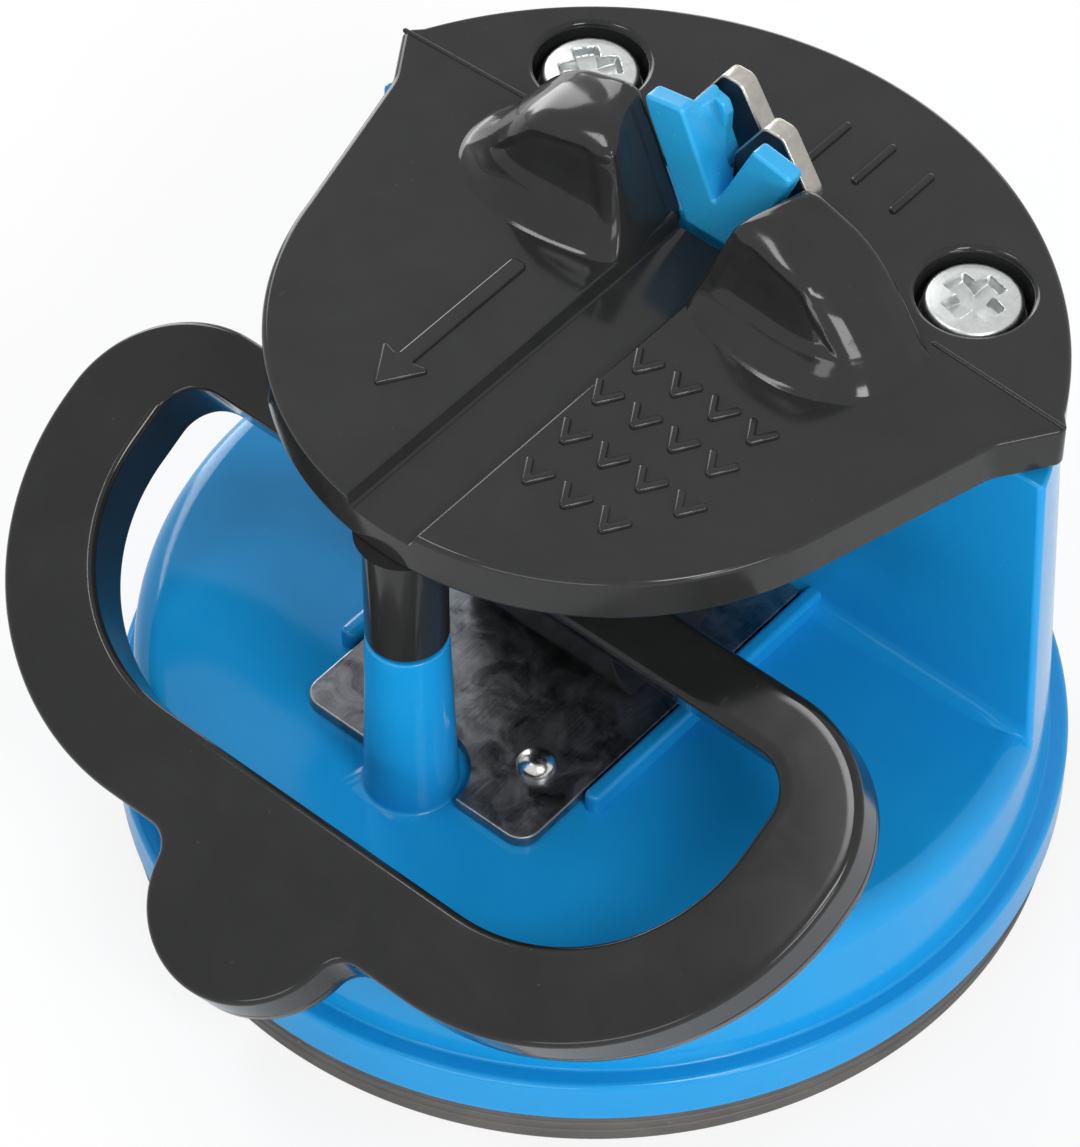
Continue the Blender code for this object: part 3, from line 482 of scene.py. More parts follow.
blackGloss = plasticMaterial("blackGloss", {
    "colour": (0.02, 0.0205, 0.0205), "rubbed": (0.0245, 0.025, 0.025), "speck": (0.04, 0.04, 0.04),
    "roughness": (0.08, 0.15), "flow": 0.5, "scratches": 1.0, "dust": 0.5, "bump": 0.35,
    "depth": 0.22, "IOR": 1.34})
blackLever = plasticMaterial("blackLever", {
    "colour": (0.0135, 0.014, 0.014), "rubbed": (0.018, 0.0185, 0.0185), "speck": (0.04, 0.04, 0.04),
    "roughness": (0.09, 0.16), "flow": 0.6, "scratches": 1.4, "dust": 0.6, "bump": 0.35,
    "depth": 0.22, "IOR": 1.34})
blueGloss = plasticMaterial("blueGloss", {
    "colour": (0.009, 0.287, 0.65), "rubbed": (0.011, 0.297, 0.66), "speck": (0.025, 0.34, 0.70),
    "roughness": (0.10, 0.18), "flow": 0.7, "scratches": 0.8, "dust": 0.5, "bump": 0.3,
    "depth": 0.22, "IOR": 1.33, "Subsurface Weight": 0.12, "Subsurface Scale": 0.0012,
    "radius": (0.15, 0.6, 1.0)})
blueHolder = plasticMaterial("blueHolder", {
    "colour": (0.024, 0.40, 0.76), "rubbed": (0.028, 0.41, 0.77), "speck": (0.07, 0.46, 0.80),
    "roughness": (0.22, 0.32), "flow": 0.5, "scratches": 0.8, "dust": 0.4, "bump": 0.3,
    "depth": 0.2, "IOR": 1.5, "Subsurface Weight": 0.2, "Subsurface Scale": 0.0012,
    "radius": (0.15, 0.6, 1.0)})
greyStem = plasticMaterial("greyStem", {
    "colour": (0.09, 0.09, 0.1), "rubbed": (0.12, 0.12, 0.13), "speck": (0.2, 0.2, 0.2),
    "roughness": (0.35, 0.5), "flow": 0.5, "scratches": 1.0, "dust": 0.6, "bump": 0.4,
    "depth": 0.2, "IOR": 1.48})
satinRubber = plasticMaterial("satinRubber", {
    "colour": (0.065, 0.061, 0.056), "rubbed": (0.105, 0.099, 0.09), "speck": (0.21, 0.2, 0.18),
    "roughness": (0.42, 0.6), "flow": 0.4, "scratches": 1.0, "dust": 1.0, "bump": 0.5,
    "depth": 0.25, "IOR": 1.52})
oiledSteel = metalMaterial("oiledSteel", {
    "colour": (0.12, 0.125, 0.135), "stained": (0.30, 0.31, 0.33), "bright": (0.45, 0.46, 0.48),
    "blotch": 0.42, "angle": 0.5, "from": 0.35, "to": 0.68, "streak": 0.25,
    "roughness": (0.26, 0.5), "bump": 0.5, "depth": 0.05, "Metallic": 1.0})
groundCarbide = metalMaterial("groundCarbide", {
    "colour": (0.36, 0.345, 0.315), "stained": (0.44, 0.425, 0.39), "bright": (0.52, 0.51, 0.48),
    # face: painted shade and painted dark reflection on the broad sides that look along y
    "face": (0.05, 0.055, 0.07), "blotch": 0.9, "angle": 1.2, "from": 0.35, "to": 0.65, "streak": 0.15,
    "roughness": (0.3, 0.42), "bump": 0.5, "depth": 0.03, "Metallic": 0.95})
zincPlate = metalMaterial("zincPlate", {
    "colour": (0.47, 0.49, 0.48), "stained": (0.55, 0.57, 0.56), "bright": (0.66, 0.68, 0.67),
    "blotch": 1.3, "angle": 0.3, "from": 0.35, "to": 0.65, "streak": 0.35,
    "roughness": (0.26, 0.42), "bump": 0.5, "depth": 0.03, "Metallic": 1.0})
rivetSteel = metalMaterial("rivetSteel", {
    "colour": (0.62, 0.62, 0.6), "stained": (0.5, 0.49, 0.46), "bright": (0.85, 0.85, 0.84),
    "blotch": 1.6, "angle": 0.3, "from": 0.4, "to": 0.65, "streak": 0.3,
    "roughness": (0.14, 0.26), "bump": 0.4, "depth": 0.03, "Metallic": 1.0})
print("finishes ready")


# Base shell: turned body, tower, post, ribs
base = {"flangeTop": 6.8, "wallRadius": 31.0, "draftShare": 0.045, "shoulder": 2.0,
        "underside": 2.5, "wall": 2.2, "ledge": 3.2, "flangeRound": 0.45, "foot": 0.3,
        "stemHole": 3.0, "holeRound": 0.15, "rings": (9, 16, 22), "wallFoot": 0.25,
        "ledgeRound": 0.2, "hollowRound": 0.3, "ceilingRound": 1.0,
        "towerFront": 10.4, "towerCorner": 0.4, "towerTopRound": 0.3, "towerSunk": 1.8,
        "towerFillet": 1.3, "fadeFrom": 24.5, "fadeTo": 28.8,
        "bossFoot": 3.12, "bossTop": 2.72, "bossFillet": 0.32, "bossEdge": 0.2, "bossSunk": 1.5,
        "filletSunk": 0.03,
        "jointHeight": 29.9, "bore": 1.7, "socketDepth": 4.3, "boreDepth": 12.0,
        "rivetHole": 0.9, "rivetDepth": 4.0,
        "ribInner": 10.0, "ribWidth": 1.2, "ribFront": -12.9, "ribHeight": 1.5, "ribEnd": 0.55,
        "ribEdge": 0.4}


def wallAt(height):
    # the drafted wall's radius
    return base["wallRadius"] - (height - base["flangeTop"]) * base["draftShare"]


def baseBody():
    # section of the turned body: floor, rounded shoulder, drafted wall, flange, hollow underside
    top, shoulder = floorTop, base["shoulder"]
    under = floorTop - base["underside"]
    flangeTop, ledge = base["flangeTop"], baseRadius - base["ledge"]
    inside = wallAt(under) - base["wall"]
    section = rounded([
        (base["stemHole"], top, base["holeRound"]), *[(x, top, 0) for x in base["rings"]],
        (wallAt(top), top, shoulder), (wallAt(flangeTop), flangeTop, base["wallFoot"]),
        (baseRadius, flangeTop, base["flangeRound"]), (baseRadius, shellBottom, base["foot"]),
        (ledge, shellBottom, base["ledgeRound"]), (ledge, flangeTop, 0),
        (inside, flangeTop, base["hollowRound"]), (inside, under, base["ceilingRound"]),
        *[(x, under, 0) for x in base["rings"][::-1]], (base["stemHole"], under, 0)], steps=11)
    return lathe(section, steps=288, closed=True)


def towerBlock():
    # an outline with a flat front and a round rear, carried up with the wall's draft; near the
    # floor its front swells forward by a quarter circle that fades out towards the two sides
    fillet, topRound, front = base["towerFillet"], base["towerTopRound"], base["towerFront"]
    foot = bend(0, floorTop, fillet, fillet, 10)[1:]
    straight = np.linspace(floorTop + fillet, towerTop - topRound, 9)[1:]
    edge = bend(0, towerTop, topRound, -topRound, 5, uprightFirst=True)[1:]
    heights = np.concatenate([[floorTop - base["towerSunk"], floorTop - hair], foot[:, 1],
                              straight, edge[:, 1]])
    swell = np.concatenate([[fillet, fillet], foot[:, 0], np.zeros(len(straight) + len(edge))])
    inset = np.concatenate([np.zeros(len(heights) - len(edge)), edge[:, 0]])
    clear, away = 1.5, 3   # keep the chord's and the arc's points off the rounded corners
    rows = []
    for height, forward, drawn in zip(heights, swell, inset):
        radius = wallAt(height)
        meeting = math.degrees(math.asin(front / radius))
        side = radius * math.cos(math.radians(meeting))
        chord = [(x, front, 0) for x in np.linspace(clear - side, side - clear, 70)]
        wall = [(x, y, 0) for x, y in arc(0, 0, radius, meeting + away, 180 - away - meeting, 120)]
        outline = rounded([(-side, front, base["towerCorner"])] + chord
                          + [(side, front, base["towerCorner"])] + wall)
        outline = outline + mitres(outline) * drawn
        fade = 1 - softStep(base["fadeFrom"], base["fadeTo"], abs(outline[:, 0]))
        ahead = outline[:, 1] < front + 0.001
        outline[:, 1] -= forward * fade * ahead
        rows.append(np.column_stack([outline, np.full(len(outline), height)]))
    return skin(np.stack(rows), caps=True)


def postBoss():
    # a tapered post with a concave quarter circle at its foot, a little sunk into the floor, and a
    # rounded top edge
    foot, top, fillet = base["bossFoot"], base["bossTop"], base["bossFillet"]
    joint, edge = base["jointHeight"], base["bossEdge"]
    low, start = floorTop - base["bossSunk"], floorTop - base["filletSunk"]
    flare = bend(foot, start, fillet, fillet, 9)
    rim = bend(top, joint, -edge, -edge, 9, uprightFirst=True)
    return lathe(np.concatenate([[(0, low), (foot + fillet, low)], flare, rim, [(0, joint)]]),
                 (0, pillarBack), 96)


def ribBar(side):
    # a round-ended bar that runs back into the tower
    inner, outer = base["ribInner"], base["ribInner"] + base["ribWidth"]
    front, back, end = base["ribFront"], base["towerFront"] + overrun, base["ribEnd"]
    outline = rectangle(side * inner, front, side * outer, back, end)
    return slab(outline, floorTop - overrun, floorTop + base["ribHeight"], 0, base["ribEdge"])


def makeBase():
    shell = makeThing("baseShell", baseBody())
    tools = [makeThing("tower", towerBlock()), makeThing("post", postBoss())]
    tools += [makeThing("rib", ribBar(side)) for side in (-1, 1)]
    shaped(shell, "UNION", *tools)
    joint, bore = base["jointHeight"], base["bore"]
    cuts = [makeThing("socket", rod(bore, joint - base["socketDepth"], joint + overrun,
                                    (0, pillarBack)))]
    for side in (-1, 1):
        cuts.append(makeThing("rivetHole", rod(base["rivetHole"], floorTop - base["rivetDepth"],
                                               floorTop + overrun, (side * rivetSide, rivetBack))))
        cuts.append(makeThing("screwBore", rod(bore, towerTop - base["boreDepth"],
                                               towerTop + overrun, (side * screwSide, screwBack))))
    shaped(shell, "DIFFERENCE", *cuts)
    return finishPiece(shell, "base", "blue_plastic", blueGloss, "base_shell")


makeBase()
print("base shell done")


# Cover plate, its groove, wells and window, and the pillar under its tongue
cover = {"edgeRound": 0.42, "underRound": 0.3, "rearRadius": 29.8, "corner": (27.45, 12.65),
         "cornerRound": 0.75, "cornerTurn": 2.5, "neck": (24.75, 8.6), "neckHollow": 4.2,
         "tongueRadius": 22.0, "tongueCentre": 1.5, "tongueStart": -13.0, "inside": 10,
         "grooveFloorHalf": 2.45, "grooveLipHalf": 2.75, "grooveCorner": 0.22, "lipRound": 0.35,
         "lipFrom": 18, "lipTo": 60, "lipShare": 0.8, "lipRise": 0.2, "beyond": 3,
         "holderFront": 11.5, "grooveRun": 0.4,
         "wellRadius": 3.8, "wellDepth": 2.4, "wellLip": 0.45, "wellCorner": 0.4,
         "windowHalf": 6.6, "windowBack": 18.5, "windowStep": 1.3, "windowMiddle": 16.1,
         "windowRound": 0.3, "pillarRadius": 2.7, "pillarFoot": 30.2, "pillarEdge": 0.15,
         "pillarNeck": 0.5, "spigot": 1.4, "spigotLength": 4.0}


def coverOutline():
    # right half: tongue arc, straight flank, hollow neck, outer corner, rear arc
    tongue = arc(0, cover["tongueCentre"], cover["tongueRadius"], -90, cover["tongueStart"], 60)
    cornerX, cornerY = cover["corner"]
    start = math.degrees(math.atan2(cornerY, cornerX))
    rear = arc(0, 0, cover["rearRadius"], start + cover["cornerTurn"], 90, 70)
    joined = rounded([*[(x, y, 0) for x, y in tongue], (*cover["neck"], cover["neckHollow"]),
                      (cornerX, cornerY, cover["cornerRound"]), *[(x, y, 0) for x, y in rear],
                      (0, cover["inside"], 0)], steps=12)
    right = joined[joined[:, 0] > 1e-6]
    first = np.argmin(right[:, 1])
    right = np.roll(right, -first, 0)
    return bothSides(np.concatenate([[(0, cover["tongueCentre"] - cover["tongueRadius"])], right,
                                     [(0, cover["rearRadius"])]]))


def grooveCutter():
    # a channel's section, its floor corners and lips rounded, carried along the draw direction; the
    # lips start at a small angle to the cover's top, and the cutter goes on straight above them
    lip, high = cover["lipRound"], coverTop + cover["beyond"]
    half, foot = cover["grooveLipHalf"], cover["grooveFloorHalf"]
    first = math.radians(cover["lipFrom"])
    turn = np.linspace(first, math.radians(cover["lipTo"]), 7)
    lipEdge = np.stack([half + lip * (cover["lipShare"] - np.sin(turn)),
                        coverTop - lip * (math.cos(first) - np.cos(turn))], -1)
    above = lipEdge[0] + np.array([math.cos(first), math.sin(first)]) * cover["lipRise"]
    corner = rounded([(foot, grooveFloor, cover["grooveCorner"]), (0, grooveFloor, 0),
                      (0, high, 0), (above[0], high, 0), (*above, 0),
                      *[(x, z, 0) for x, z in lipEdge]], steps=7)
    right = corner[corner[:, 0] > 1e-6]
    top = np.argmax(right[:, 1] + right[:, 0] * 0.01)
    right = np.roll(right, -top - 1, 0)
    section = bothSides(right)
    front = -cover["tongueRadius"] - cover["beyond"]
    rows = np.linspace(front, cover["holderFront"] + cover["grooveRun"], 3)
    grid = np.stack([np.column_stack([section[:, 0], np.full(len(section), y), section[:, 1]])
                     for y in rows])
    return skin(grid, caps=True)


def wellCutter(side):
    # a round well whose top edge flares out by a quarter circle
    radius, lip, corner = cover["wellRadius"], cover["wellLip"], cover["wellCorner"]
    seat, high = coverTop - cover["wellDepth"], coverTop + 2 * overrun
    flare = bend(radius, coverTop + 0.1 * hair, lip, -lip, 8, uprightFirst=True)
    floor = bend(radius, seat, -corner, corner, 8)
    profile = np.concatenate([[(0, seat)], floor, flare, [(radius + lip, high), (0, high)]])
    return lathe(profile, (side * screwSide, screwBack), 120)


def windowShape(half, front, back, stepX, stepY, radius):
    # a rectangle that reaches less far back on its right, where the cutter stands further forward
    corners = [(-half, front), (half, front), (half, stepY), (stepX, stepY), (stepX, back),
               (-half, back)]
    return rounded([(*corner, radius) for corner in corners])


def makeCover():
    plate = makeThing("coverPlate", slab(coverOutline(), coverUnder, coverTop, cover["underRound"],
                                         cover["edgeRound"], 7))
    window = windowShape(cover["windowHalf"], cover["holderFront"] - gap, cover["windowBack"],
                         cover["windowStep"], cover["windowMiddle"], cover["windowRound"])
    cuts = [makeThing("groove", grooveCutter()),
            makeThing("window", slab(window, coverUnder - overrun, coverTop + overrun)),
            makeThing("wellLeft", wellCutter(-1)), makeThing("wellRight", wellCutter(1))]
    for side in (-1, 1):
        cuts.append(makeThing("hole", rod(base["bore"], coverUnder - overrun, coverTop,
                                          (side * screwSide, screwBack))))
    shaped(plate, "DIFFERENCE", *cuts)
    return finishPiece(plate, "base", "black_plastic", blackGloss, "top_cover")


def makePillar():
    # a round pillar with a flare under the cover and a short spigot that stands in the post
    radius, foot, spigot = cover["pillarRadius"], cover["pillarFoot"], cover["spigot"]
    edge, neck, top = cover["pillarEdge"], cover["pillarNeck"], coverUnder + hair
    low = foot - cover["spigotLength"]
    lowEdge = bend(radius, foot, -edge, edge, 7)
    flare = bend(radius, top, neck, -neck, 7, uprightFirst=True)
    profile = np.concatenate([[(0, low), (spigot, low), (spigot, foot)], lowEdge, flare, [(0, top)]])
    pillar = makeThing("pillar", lathe(profile, (0, pillarBack), 96))
    return finishPiece(pillar, "base", "black_plastic", blackGloss)


makeCover()
makePillar()
print("cover done")


# Guards: half domes beside the knife slot, cut off flat behind. Each column of points climbs from
# the foot to the summit, and the columns run from the inner rear edge round to the outer one
guard = {
    "columns": [
        [(2.9, 12.4, 41.9), (3.4, 12.4, 43.4), (4.2, 12.4, 45.2), (5.0, 12.4, 47.2),
         (5.9, 12.4, 49.2), (6.4, 12.4, 50.35), (6.75, 12.4, 50.75), (7.2, 12.4, 50.95)],
        [(2.75, 9.5, 41.9), (2.95, 9.5, 43.2), (3.7, 9.6, 45.2), (4.5, 9.7, 47.2),
         (5.3, 9.8, 49.1), (5.95, 9.9, 50.4), (6.7, 11.0, 50.85), (7.7, 12.4, 50.98)],
        [(2.65, 6.0, 41.95), (2.75, 6.1, 43.1), (3.35, 6.7, 45.0), (4.0, 7.2, 47.0),
         (4.6, 7.6, 48.9), (5.25, 8.0, 50.1), (6.7, 9.7, 50.75), (8.3, 12.4, 50.84)],
        [(3.6, 4.7, 42.94), (3.75, 5.2, 43.5), (4.5, 5.9, 45.0), (4.9, 6.5, 47.0),
         (5.3, 6.9, 48.9), (5.75, 7.3, 49.95), (7.2, 9.2, 50.7), (8.9, 12.4, 50.64)],
        [(8.3, 3.6, 42.94), (8.35, 4.3, 43.4), (8.3, 5.3, 44.7), (8.2, 6.0, 46.8),
         (8.2, 6.4, 48.8), (8.25, 6.9, 49.8), (8.8, 9.0, 50.52), (9.6, 12.4, 50.42)],
        [(12.4, 3.6, 42.94), (12.1, 4.3, 43.4), (11.5, 5.2, 44.7), (11.2, 5.8, 46.6),
         (10.9, 6.3, 48.5), (10.6, 6.9, 49.5), (10.4, 9.1, 50.15), (10.3, 12.4, 50.2)],
        [(16.0, 5.2, 42.94), (15.2, 5.5, 43.35), (13.9, 5.7, 44.6), (13.0, 6.1, 46.3),
         (12.3, 6.6, 48.0), (11.8, 7.3, 49.0), (11.4, 9.4, 49.75), (10.9, 12.4, 49.98)],
        [(17.6, 7.1, 42.94), (16.9, 7.2, 43.25), (15.7, 7.4, 44.5), (14.6, 7.6, 46.0),
         (13.4, 7.9, 47.7), (12.6, 8.5, 48.75), (12.0, 10.1, 49.4), (11.4, 12.4, 49.72)],
        [(18.2, 9.7, 42.94), (17.3, 9.8, 43.2), (16.1, 9.9, 44.4), (15.1, 10.0, 45.9),
         (13.9, 10.2, 47.5), (12.9, 10.5, 48.6), (12.35, 11.2, 49.1), (11.9, 12.4, 49.42)],
        [(18.0, 12.4, 42.94), (17.0, 12.4, 43.15), (16.0, 12.4, 44.5), (15.0, 12.4, 46.0),
         (13.9, 12.4, 47.5), (12.9, 12.4, 48.6), (12.6, 12.4, 48.88), (12.3, 12.4, 49.12)]],
    "around": 190, "up": 120, "rearEdge": 0.7, "rearEase": 2.4,
    "panelDepth": 0.24, "panelInner": 3.1, "panelLean": 0.14, "panelLevel": 2.2,
    "panelEase": ((-0.16, 0.2), (-0.25, 0.25), (-0.3, 0.3)),
    "panelTop": [(3, 4.75), (4, 4.45), (5, 4.05), (6, 3.2), (6.35, 2.3)],
    "panelFoot": [(3, 2.1), (4, 2.35), (5, 2.4), (6, 2.55)]}


def guardSkins(side):
    # control points joined smoothly both ways; the front panel is pressed in by soft steps along
    # its four edges, and a quarter circle rounds the edge of the flat rear
    columns = np.array(guard["columns"])
    grid = throughPoints(columns, guard["around"])
    grid = throughPoints(grid.transpose(1, 0, 2), guard["up"])
    across = np.linspace(0, len(columns) - 1, guard["around"])[None, :]
    along = np.linspace(0, columns.shape[1] - 1, guard["up"])[:, None]
    topAt, footAt = np.array(guard["panelTop"]).T, np.array(guard["panelFoot"]).T
    inner = guard["panelInner"] + guard["panelLean"] * (along - guard["panelLevel"])
    innerEase, footEase, topEase = guard["panelEase"]
    panel = (softStep(*innerEase, across - inner)
             * softStep(*footEase, along - np.interp(across, *footAt))
             * (1 - softStep(*topEase, along - np.interp(across, *topAt))))
    rise = np.gradient(grid, axis=0)
    run = np.gradient(grid, axis=1)
    normal = np.cross(run, rise)
    normal /= np.maximum(np.linalg.norm(normal, axis=2, keepdims=True), 1e-9)
    if normal[..., 2].mean() < 0:
        normal = -normal
    grid = grid - normal * (panel * guard["panelDepth"])[:, :, None]
    rear, edge = columns[0, 0, 1], guard["rearEdge"]
    grid[:, 0, 1] = grid[:, -1, 1] = grid[-1, :, 1] = rear
    grid[:, :, 1] -= edge * softStep(rear - guard["rearEase"], rear, grid[:, :, 1])
    border = np.concatenate([grid[:, 0], grid[-1, 1:-1], grid[::-1, -1]])
    travel = np.gradient(border[:, [0, 2]], axis=0)
    travel /= np.linalg.norm(travel, axis=1, keepdims=True)
    turn = quarter(6)[:, None]
    inset = edge * (1 - np.cos(turn))
    strip = np.stack([border[:, 0] + travel[:, 1] * inset,
                      border[:, 1] + edge * np.sin(turn), border[:, 2] - travel[:, 0] * inset], -1)
    foot = np.concatenate([grid[0], strip[1:, -1], strip[::-1, 0]])
    parts = [skin(grid, closeColumns=False), skin(strip, closeColumns=False),
             (strip[-1], [list(range(len(border)))]), (foot, [list(range(len(foot)))])]
    return [(points * [side, 1, 1], faces) for points, faces in parts]


def makeGuard(name, side):
    return finishPiece(makeThing(name, *guardSkins(side)), "base", "black_plastic", blackGloss)


makeGuard("guardLeft", -1)
makeGuard("guardRight", 1)
print("guards done")


# Raised marks on the cover: the draw arrow, and plain chevrons and bars
marks = {"height": 0.24, "edge": 0.16, "sunk": 0.1, "stroke": 0.27,
         "arrowSide": -7.45, "arrowTail": 1.4, "arrowNeck": -9.75, "arrowTip": -12.6,
         "arrowHalf": 0.6, "headHalf": 2.05, "headBack": -9.35, "tailRound": 0.35,
         "neckRound": 0.25, "headRound": 0.2,
         "chevronHalf": 1.0, "chevronDrop": 2.1, "chevronPitch": 3.05, "chevronEnd": 0.2,
         "chevronTip": 0.3, "chevronNotch": 0.1, "chevronRise": 0.15, "chevronDepth": 1.9,
         "chevronRows": [(0.55, 4.1, 4), (-3.1, 3.9, 4), (-6.9, 4.5, 4), (-10.9, 4.9, 3)],
         "barLength": 4.4, "endShare": 0.98, "bars": [(0.6, 22.6), (4.1, 22.9), (7.6, 22.4)],
         "beadHalf": 0.17, "beadEnd": 0.95, "beadRise": 0.1, "beadInner": (16.6, 12.95),
         "beadOuter": (27.35, 12.55)}


def raisedMark(outline):
    # a low plateau with rounded edges, its foot inside the plate
    return slab(outline, coverTop - marks["sunk"], coverTop + marks["height"], 0, marks["edge"], 5)


def drawArrow():
    # shaft and head, point to the front
    x, half, head = marks["arrowSide"], marks["arrowHalf"], marks["headHalf"]
    tail, neck = (marks["arrowTail"], marks["tailRound"]), (marks["arrowNeck"], marks["neckRound"])
    back = (marks["headBack"], marks["headRound"])
    return rounded([(x - half, *tail), (x - half, *neck), (x - head, *back),
                    (x, marks["arrowTip"], marks["headRound"]), (x + head, *back),
                    (x + half, *neck), (x + half, *tail)], steps=6)


def chevron(x, y):
    # two strokes that meet in a point towards the front
    half, drop, stroke = marks["chevronHalf"], marks["chevronDrop"], marks["stroke"]
    end, high = marks["chevronEnd"], y + marks["chevronRise"]
    notch = y - drop + 2 * stroke * marks["chevronDepth"]
    return rounded([(x - half - stroke, y, end), (x, y - drop, marks["chevronTip"]),
                    (x + half + stroke, y, end), (x + half - stroke, high, end),
                    (x, notch, marks["chevronNotch"]), (x - half + stroke, high, end)], steps=5)


def bar(x, y):
    # one straight stroke with round ends
    half, reach = marks["stroke"], marks["barLength"] / 2
    end = half * marks["endShare"]
    return rectangle(x - half, y - reach, x + half, y + reach, end, end)


def bead(side):
    # a fine raised line from the guard's foot to the cover's corner
    inner, outer, half = np.array(marks["beadInner"]), np.array(marks["beadOuter"]), marks["beadHalf"]
    across = np.array([inner[1] - outer[1], outer[0] - inner[0]]) / np.linalg.norm(outer - inner)
    corners = [inner - across * half, outer - across * half, outer + across * half,
               inner + across * half]
    outline = rounded([(side * x, y, half * marks["beadEnd"]) for x, y in corners])
    return slab(outline, coverTop - marks["sunk"], coverTop + marks["beadRise"], 0,
                marks["beadRise"], 5)


arrow = makeThing("drawArrow", raisedMark(drawArrow()))
finishPiece(arrow, "base", "black_plastic", blackGloss)
outlines = [chevron(start + column * marks["chevronPitch"], y)
            for y, start, count in marks["chevronRows"] for column in range(count)]
outlines += [bar(x, y) for x, y in marks["bars"]]
grip = makeThing("gripMarks", *[raisedMark(outline) for outline in outlines], bead(-1), bead(1))
finishPiece(grip, "base", "black_plastic", blackGloss)
print("marks done")


# Blade holder: a V on a foot, a lower layer behind it, a wall along its left arm, and the cutters
holder = {"front": 11.5, "frontLayer": 1.4, "backLayer": 1.35, "rear": 18.2, "armAngle": 23.8,
          "armWidth": 3.3, "armLength": 7.1, "notchRise": 3.1, "flareFrom": 49.6,
          "flareTop": (6.05, 51.35), "edge": 0.3, "backDrop": 2.5, "footHalf": 6.3, "flange": 1.6,
          "flangeThickness": 0.9, "spineHalf": 2.3, "spineRise": 1.2, "stepX": 1.0, "stepY": 15.8,
          "footRound": 0.4, "flareRound": 1.6, "tipRound": 0.5, "innerRound": 0.35,
          "notchRound": 0.15, "armInset": 0.3, "layerFoot": 0.4, "layerEdge": 0.25, "sunk": 0.35,
          "wallThickness": 0.62, "wallBack": 15.05, "wallLow": 1.2, "wallTop": 51.55,
          "wallRound": 0.3, "wallOuter": 0.25, "wallEdge": 0.12, "wallSlope": 0.1,
          "footBack": 0.4, "lipReach": 0.55,
          "lipInside": 0.3, "lipBelow": 0.25, "lipLow": 49.9, "lipRun": 1.6, "lipFront": 14.4,
          "lipRear": 0.15, "lipSlope": 0.6, "lipLowRound": 0.6, "lipTopRound": 0.5, "blockLift": 0.2,
          "blockRound": 0.2, "plateRound": 0.3, "spineInset": 0.4}
cutter = {"thickness": 1.5, "side": 2.5, "rise": 8.4, "height": 10.0, "half": 3.1, "tip": 0.75,
          "slope": 0.62, "edge": 0.2, "footRound": 0.2, "shoulderRound": 1.2, "tipRound": 0.75,
          "rightFront": 14.05, "leftFront": 16.1}


def armPoint(along, across):
    # a point along the right arm from the notch, and outwards across it
    angle = math.radians(holder["armAngle"])
    return (along * math.sin(angle) + across * math.cos(angle),
            grooveFloor + gap + holder["notchRise"] + along * math.cos(angle)
            - across * math.sin(angle))


def vOutline(drop, deeper, flared):
    # the V from its right half: foot corner, outer edge (flared near its top), outer and inner top;
    # drop says how much shorter the arms are, deeper how far the foot goes down
    angle = math.radians(holder["armAngle"])
    width, top = holder["armWidth"], grooveFloor + gap
    foot = width / math.cos(angle) - (holder["notchRise"] + deeper) * math.tan(angle)
    right = [(foot, top - deeper, holder["footRound"])]
    if flared:
        rise = holder["flareFrom"] - (top - deeper)
        right.append((foot + rise * math.tan(angle), holder["flareFrom"], holder["flareRound"]))
        right.append((*holder["flareTop"], holder["tipRound"]))
    else:
        outer = armPoint(holder["armLength"] - drop, width - holder["armInset"])
        right.append((*outer, holder["footRound"]))
    right.append((*armPoint(holder["armLength"] - drop, 0), holder["innerRound"]))
    left = [(-x, height, radius) for x, height, radius in right[::-1]]
    notch = (0, top + holder["notchRise"], holder["notchRound"])
    return rounded([*right, notch, *left], steps=8)


def wallOutline():
    # the thin wall along the left arm's inner side, up to its rounded top
    angle = math.radians(holder["armAngle"])
    thick, low = holder["wallThickness"], holder["wallLow"]
    reach = (holder["wallTop"] - armPoint(0, 0)[1]) / math.cos(angle)
    inner, outer = armPoint(reach, 0), armPoint(reach, thick)
    foot, footOuter = armPoint(low, 0), armPoint(low, thick)
    return rounded([(-footOuter[0], footOuter[1], 0), (-foot[0], foot[1], 0),
                    (-inner[0], inner[1], holder["wallRound"]),
                    (-outer[0], inner[1] - holder["wallSlope"], holder["wallOuter"])])


def lipOutline():
    # the small lip at the wall's rear end, standing into the V
    angle = math.radians(holder["armAngle"])
    inside, reach = holder["lipInside"], holder["lipReach"]
    top, low = holder["wallTop"] - holder["lipBelow"], holder["lipLow"]

    def onWall(height, across):
        x, level = armPoint((height - armPoint(0, 0)[1]) / math.cos(angle), across)
        return -x, level

    return rounded([(*onWall(top, inside), 0), (*onWall(low - holder["lipRun"], inside), 0),
                    (*onWall(low, -reach), holder["lipLowRound"]),
                    (*onWall(top - holder["lipSlope"], -reach), holder["lipTopRound"])])


def cutterOutline(grow):
    # a plate with a narrow rounded tip over sloping shoulders
    top = coverTop + cutter["rise"] + grow
    tip, half = cutter["tip"] + grow, cutter["half"] + grow
    shoulder = top - (half - tip) / cutter["slope"]
    bottom = coverTop + cutter["rise"] - cutter["height"] - grow
    middle, footRound = cutter["side"], cutter["footRound"]
    shoulderRound, tipRound = cutter["shoulderRound"], cutter["tipRound"]
    return rounded([(middle - half, bottom, footRound), (middle + half, bottom, footRound),
                    (middle + half, shoulder, shoulderRound), (middle + tip, top, tipRound),
                    (middle - tip, top, tipRound), (middle - half, shoulder, shoulderRound)],
                   steps=9)


def cutterSlab(side, grow):
    # one plate, or the pocket for it where grow is a clearance
    front = cutter["rightFront"] if side > 0 else cutter["leftFront"]
    outline = tidyOutline(cutterOutline(grow) * [side, 1])
    edge = 0.0 if grow else cutter["edge"]
    return stood(slab(outline, front - grow, front + cutter["thickness"] + grow, edge, edge, 5))


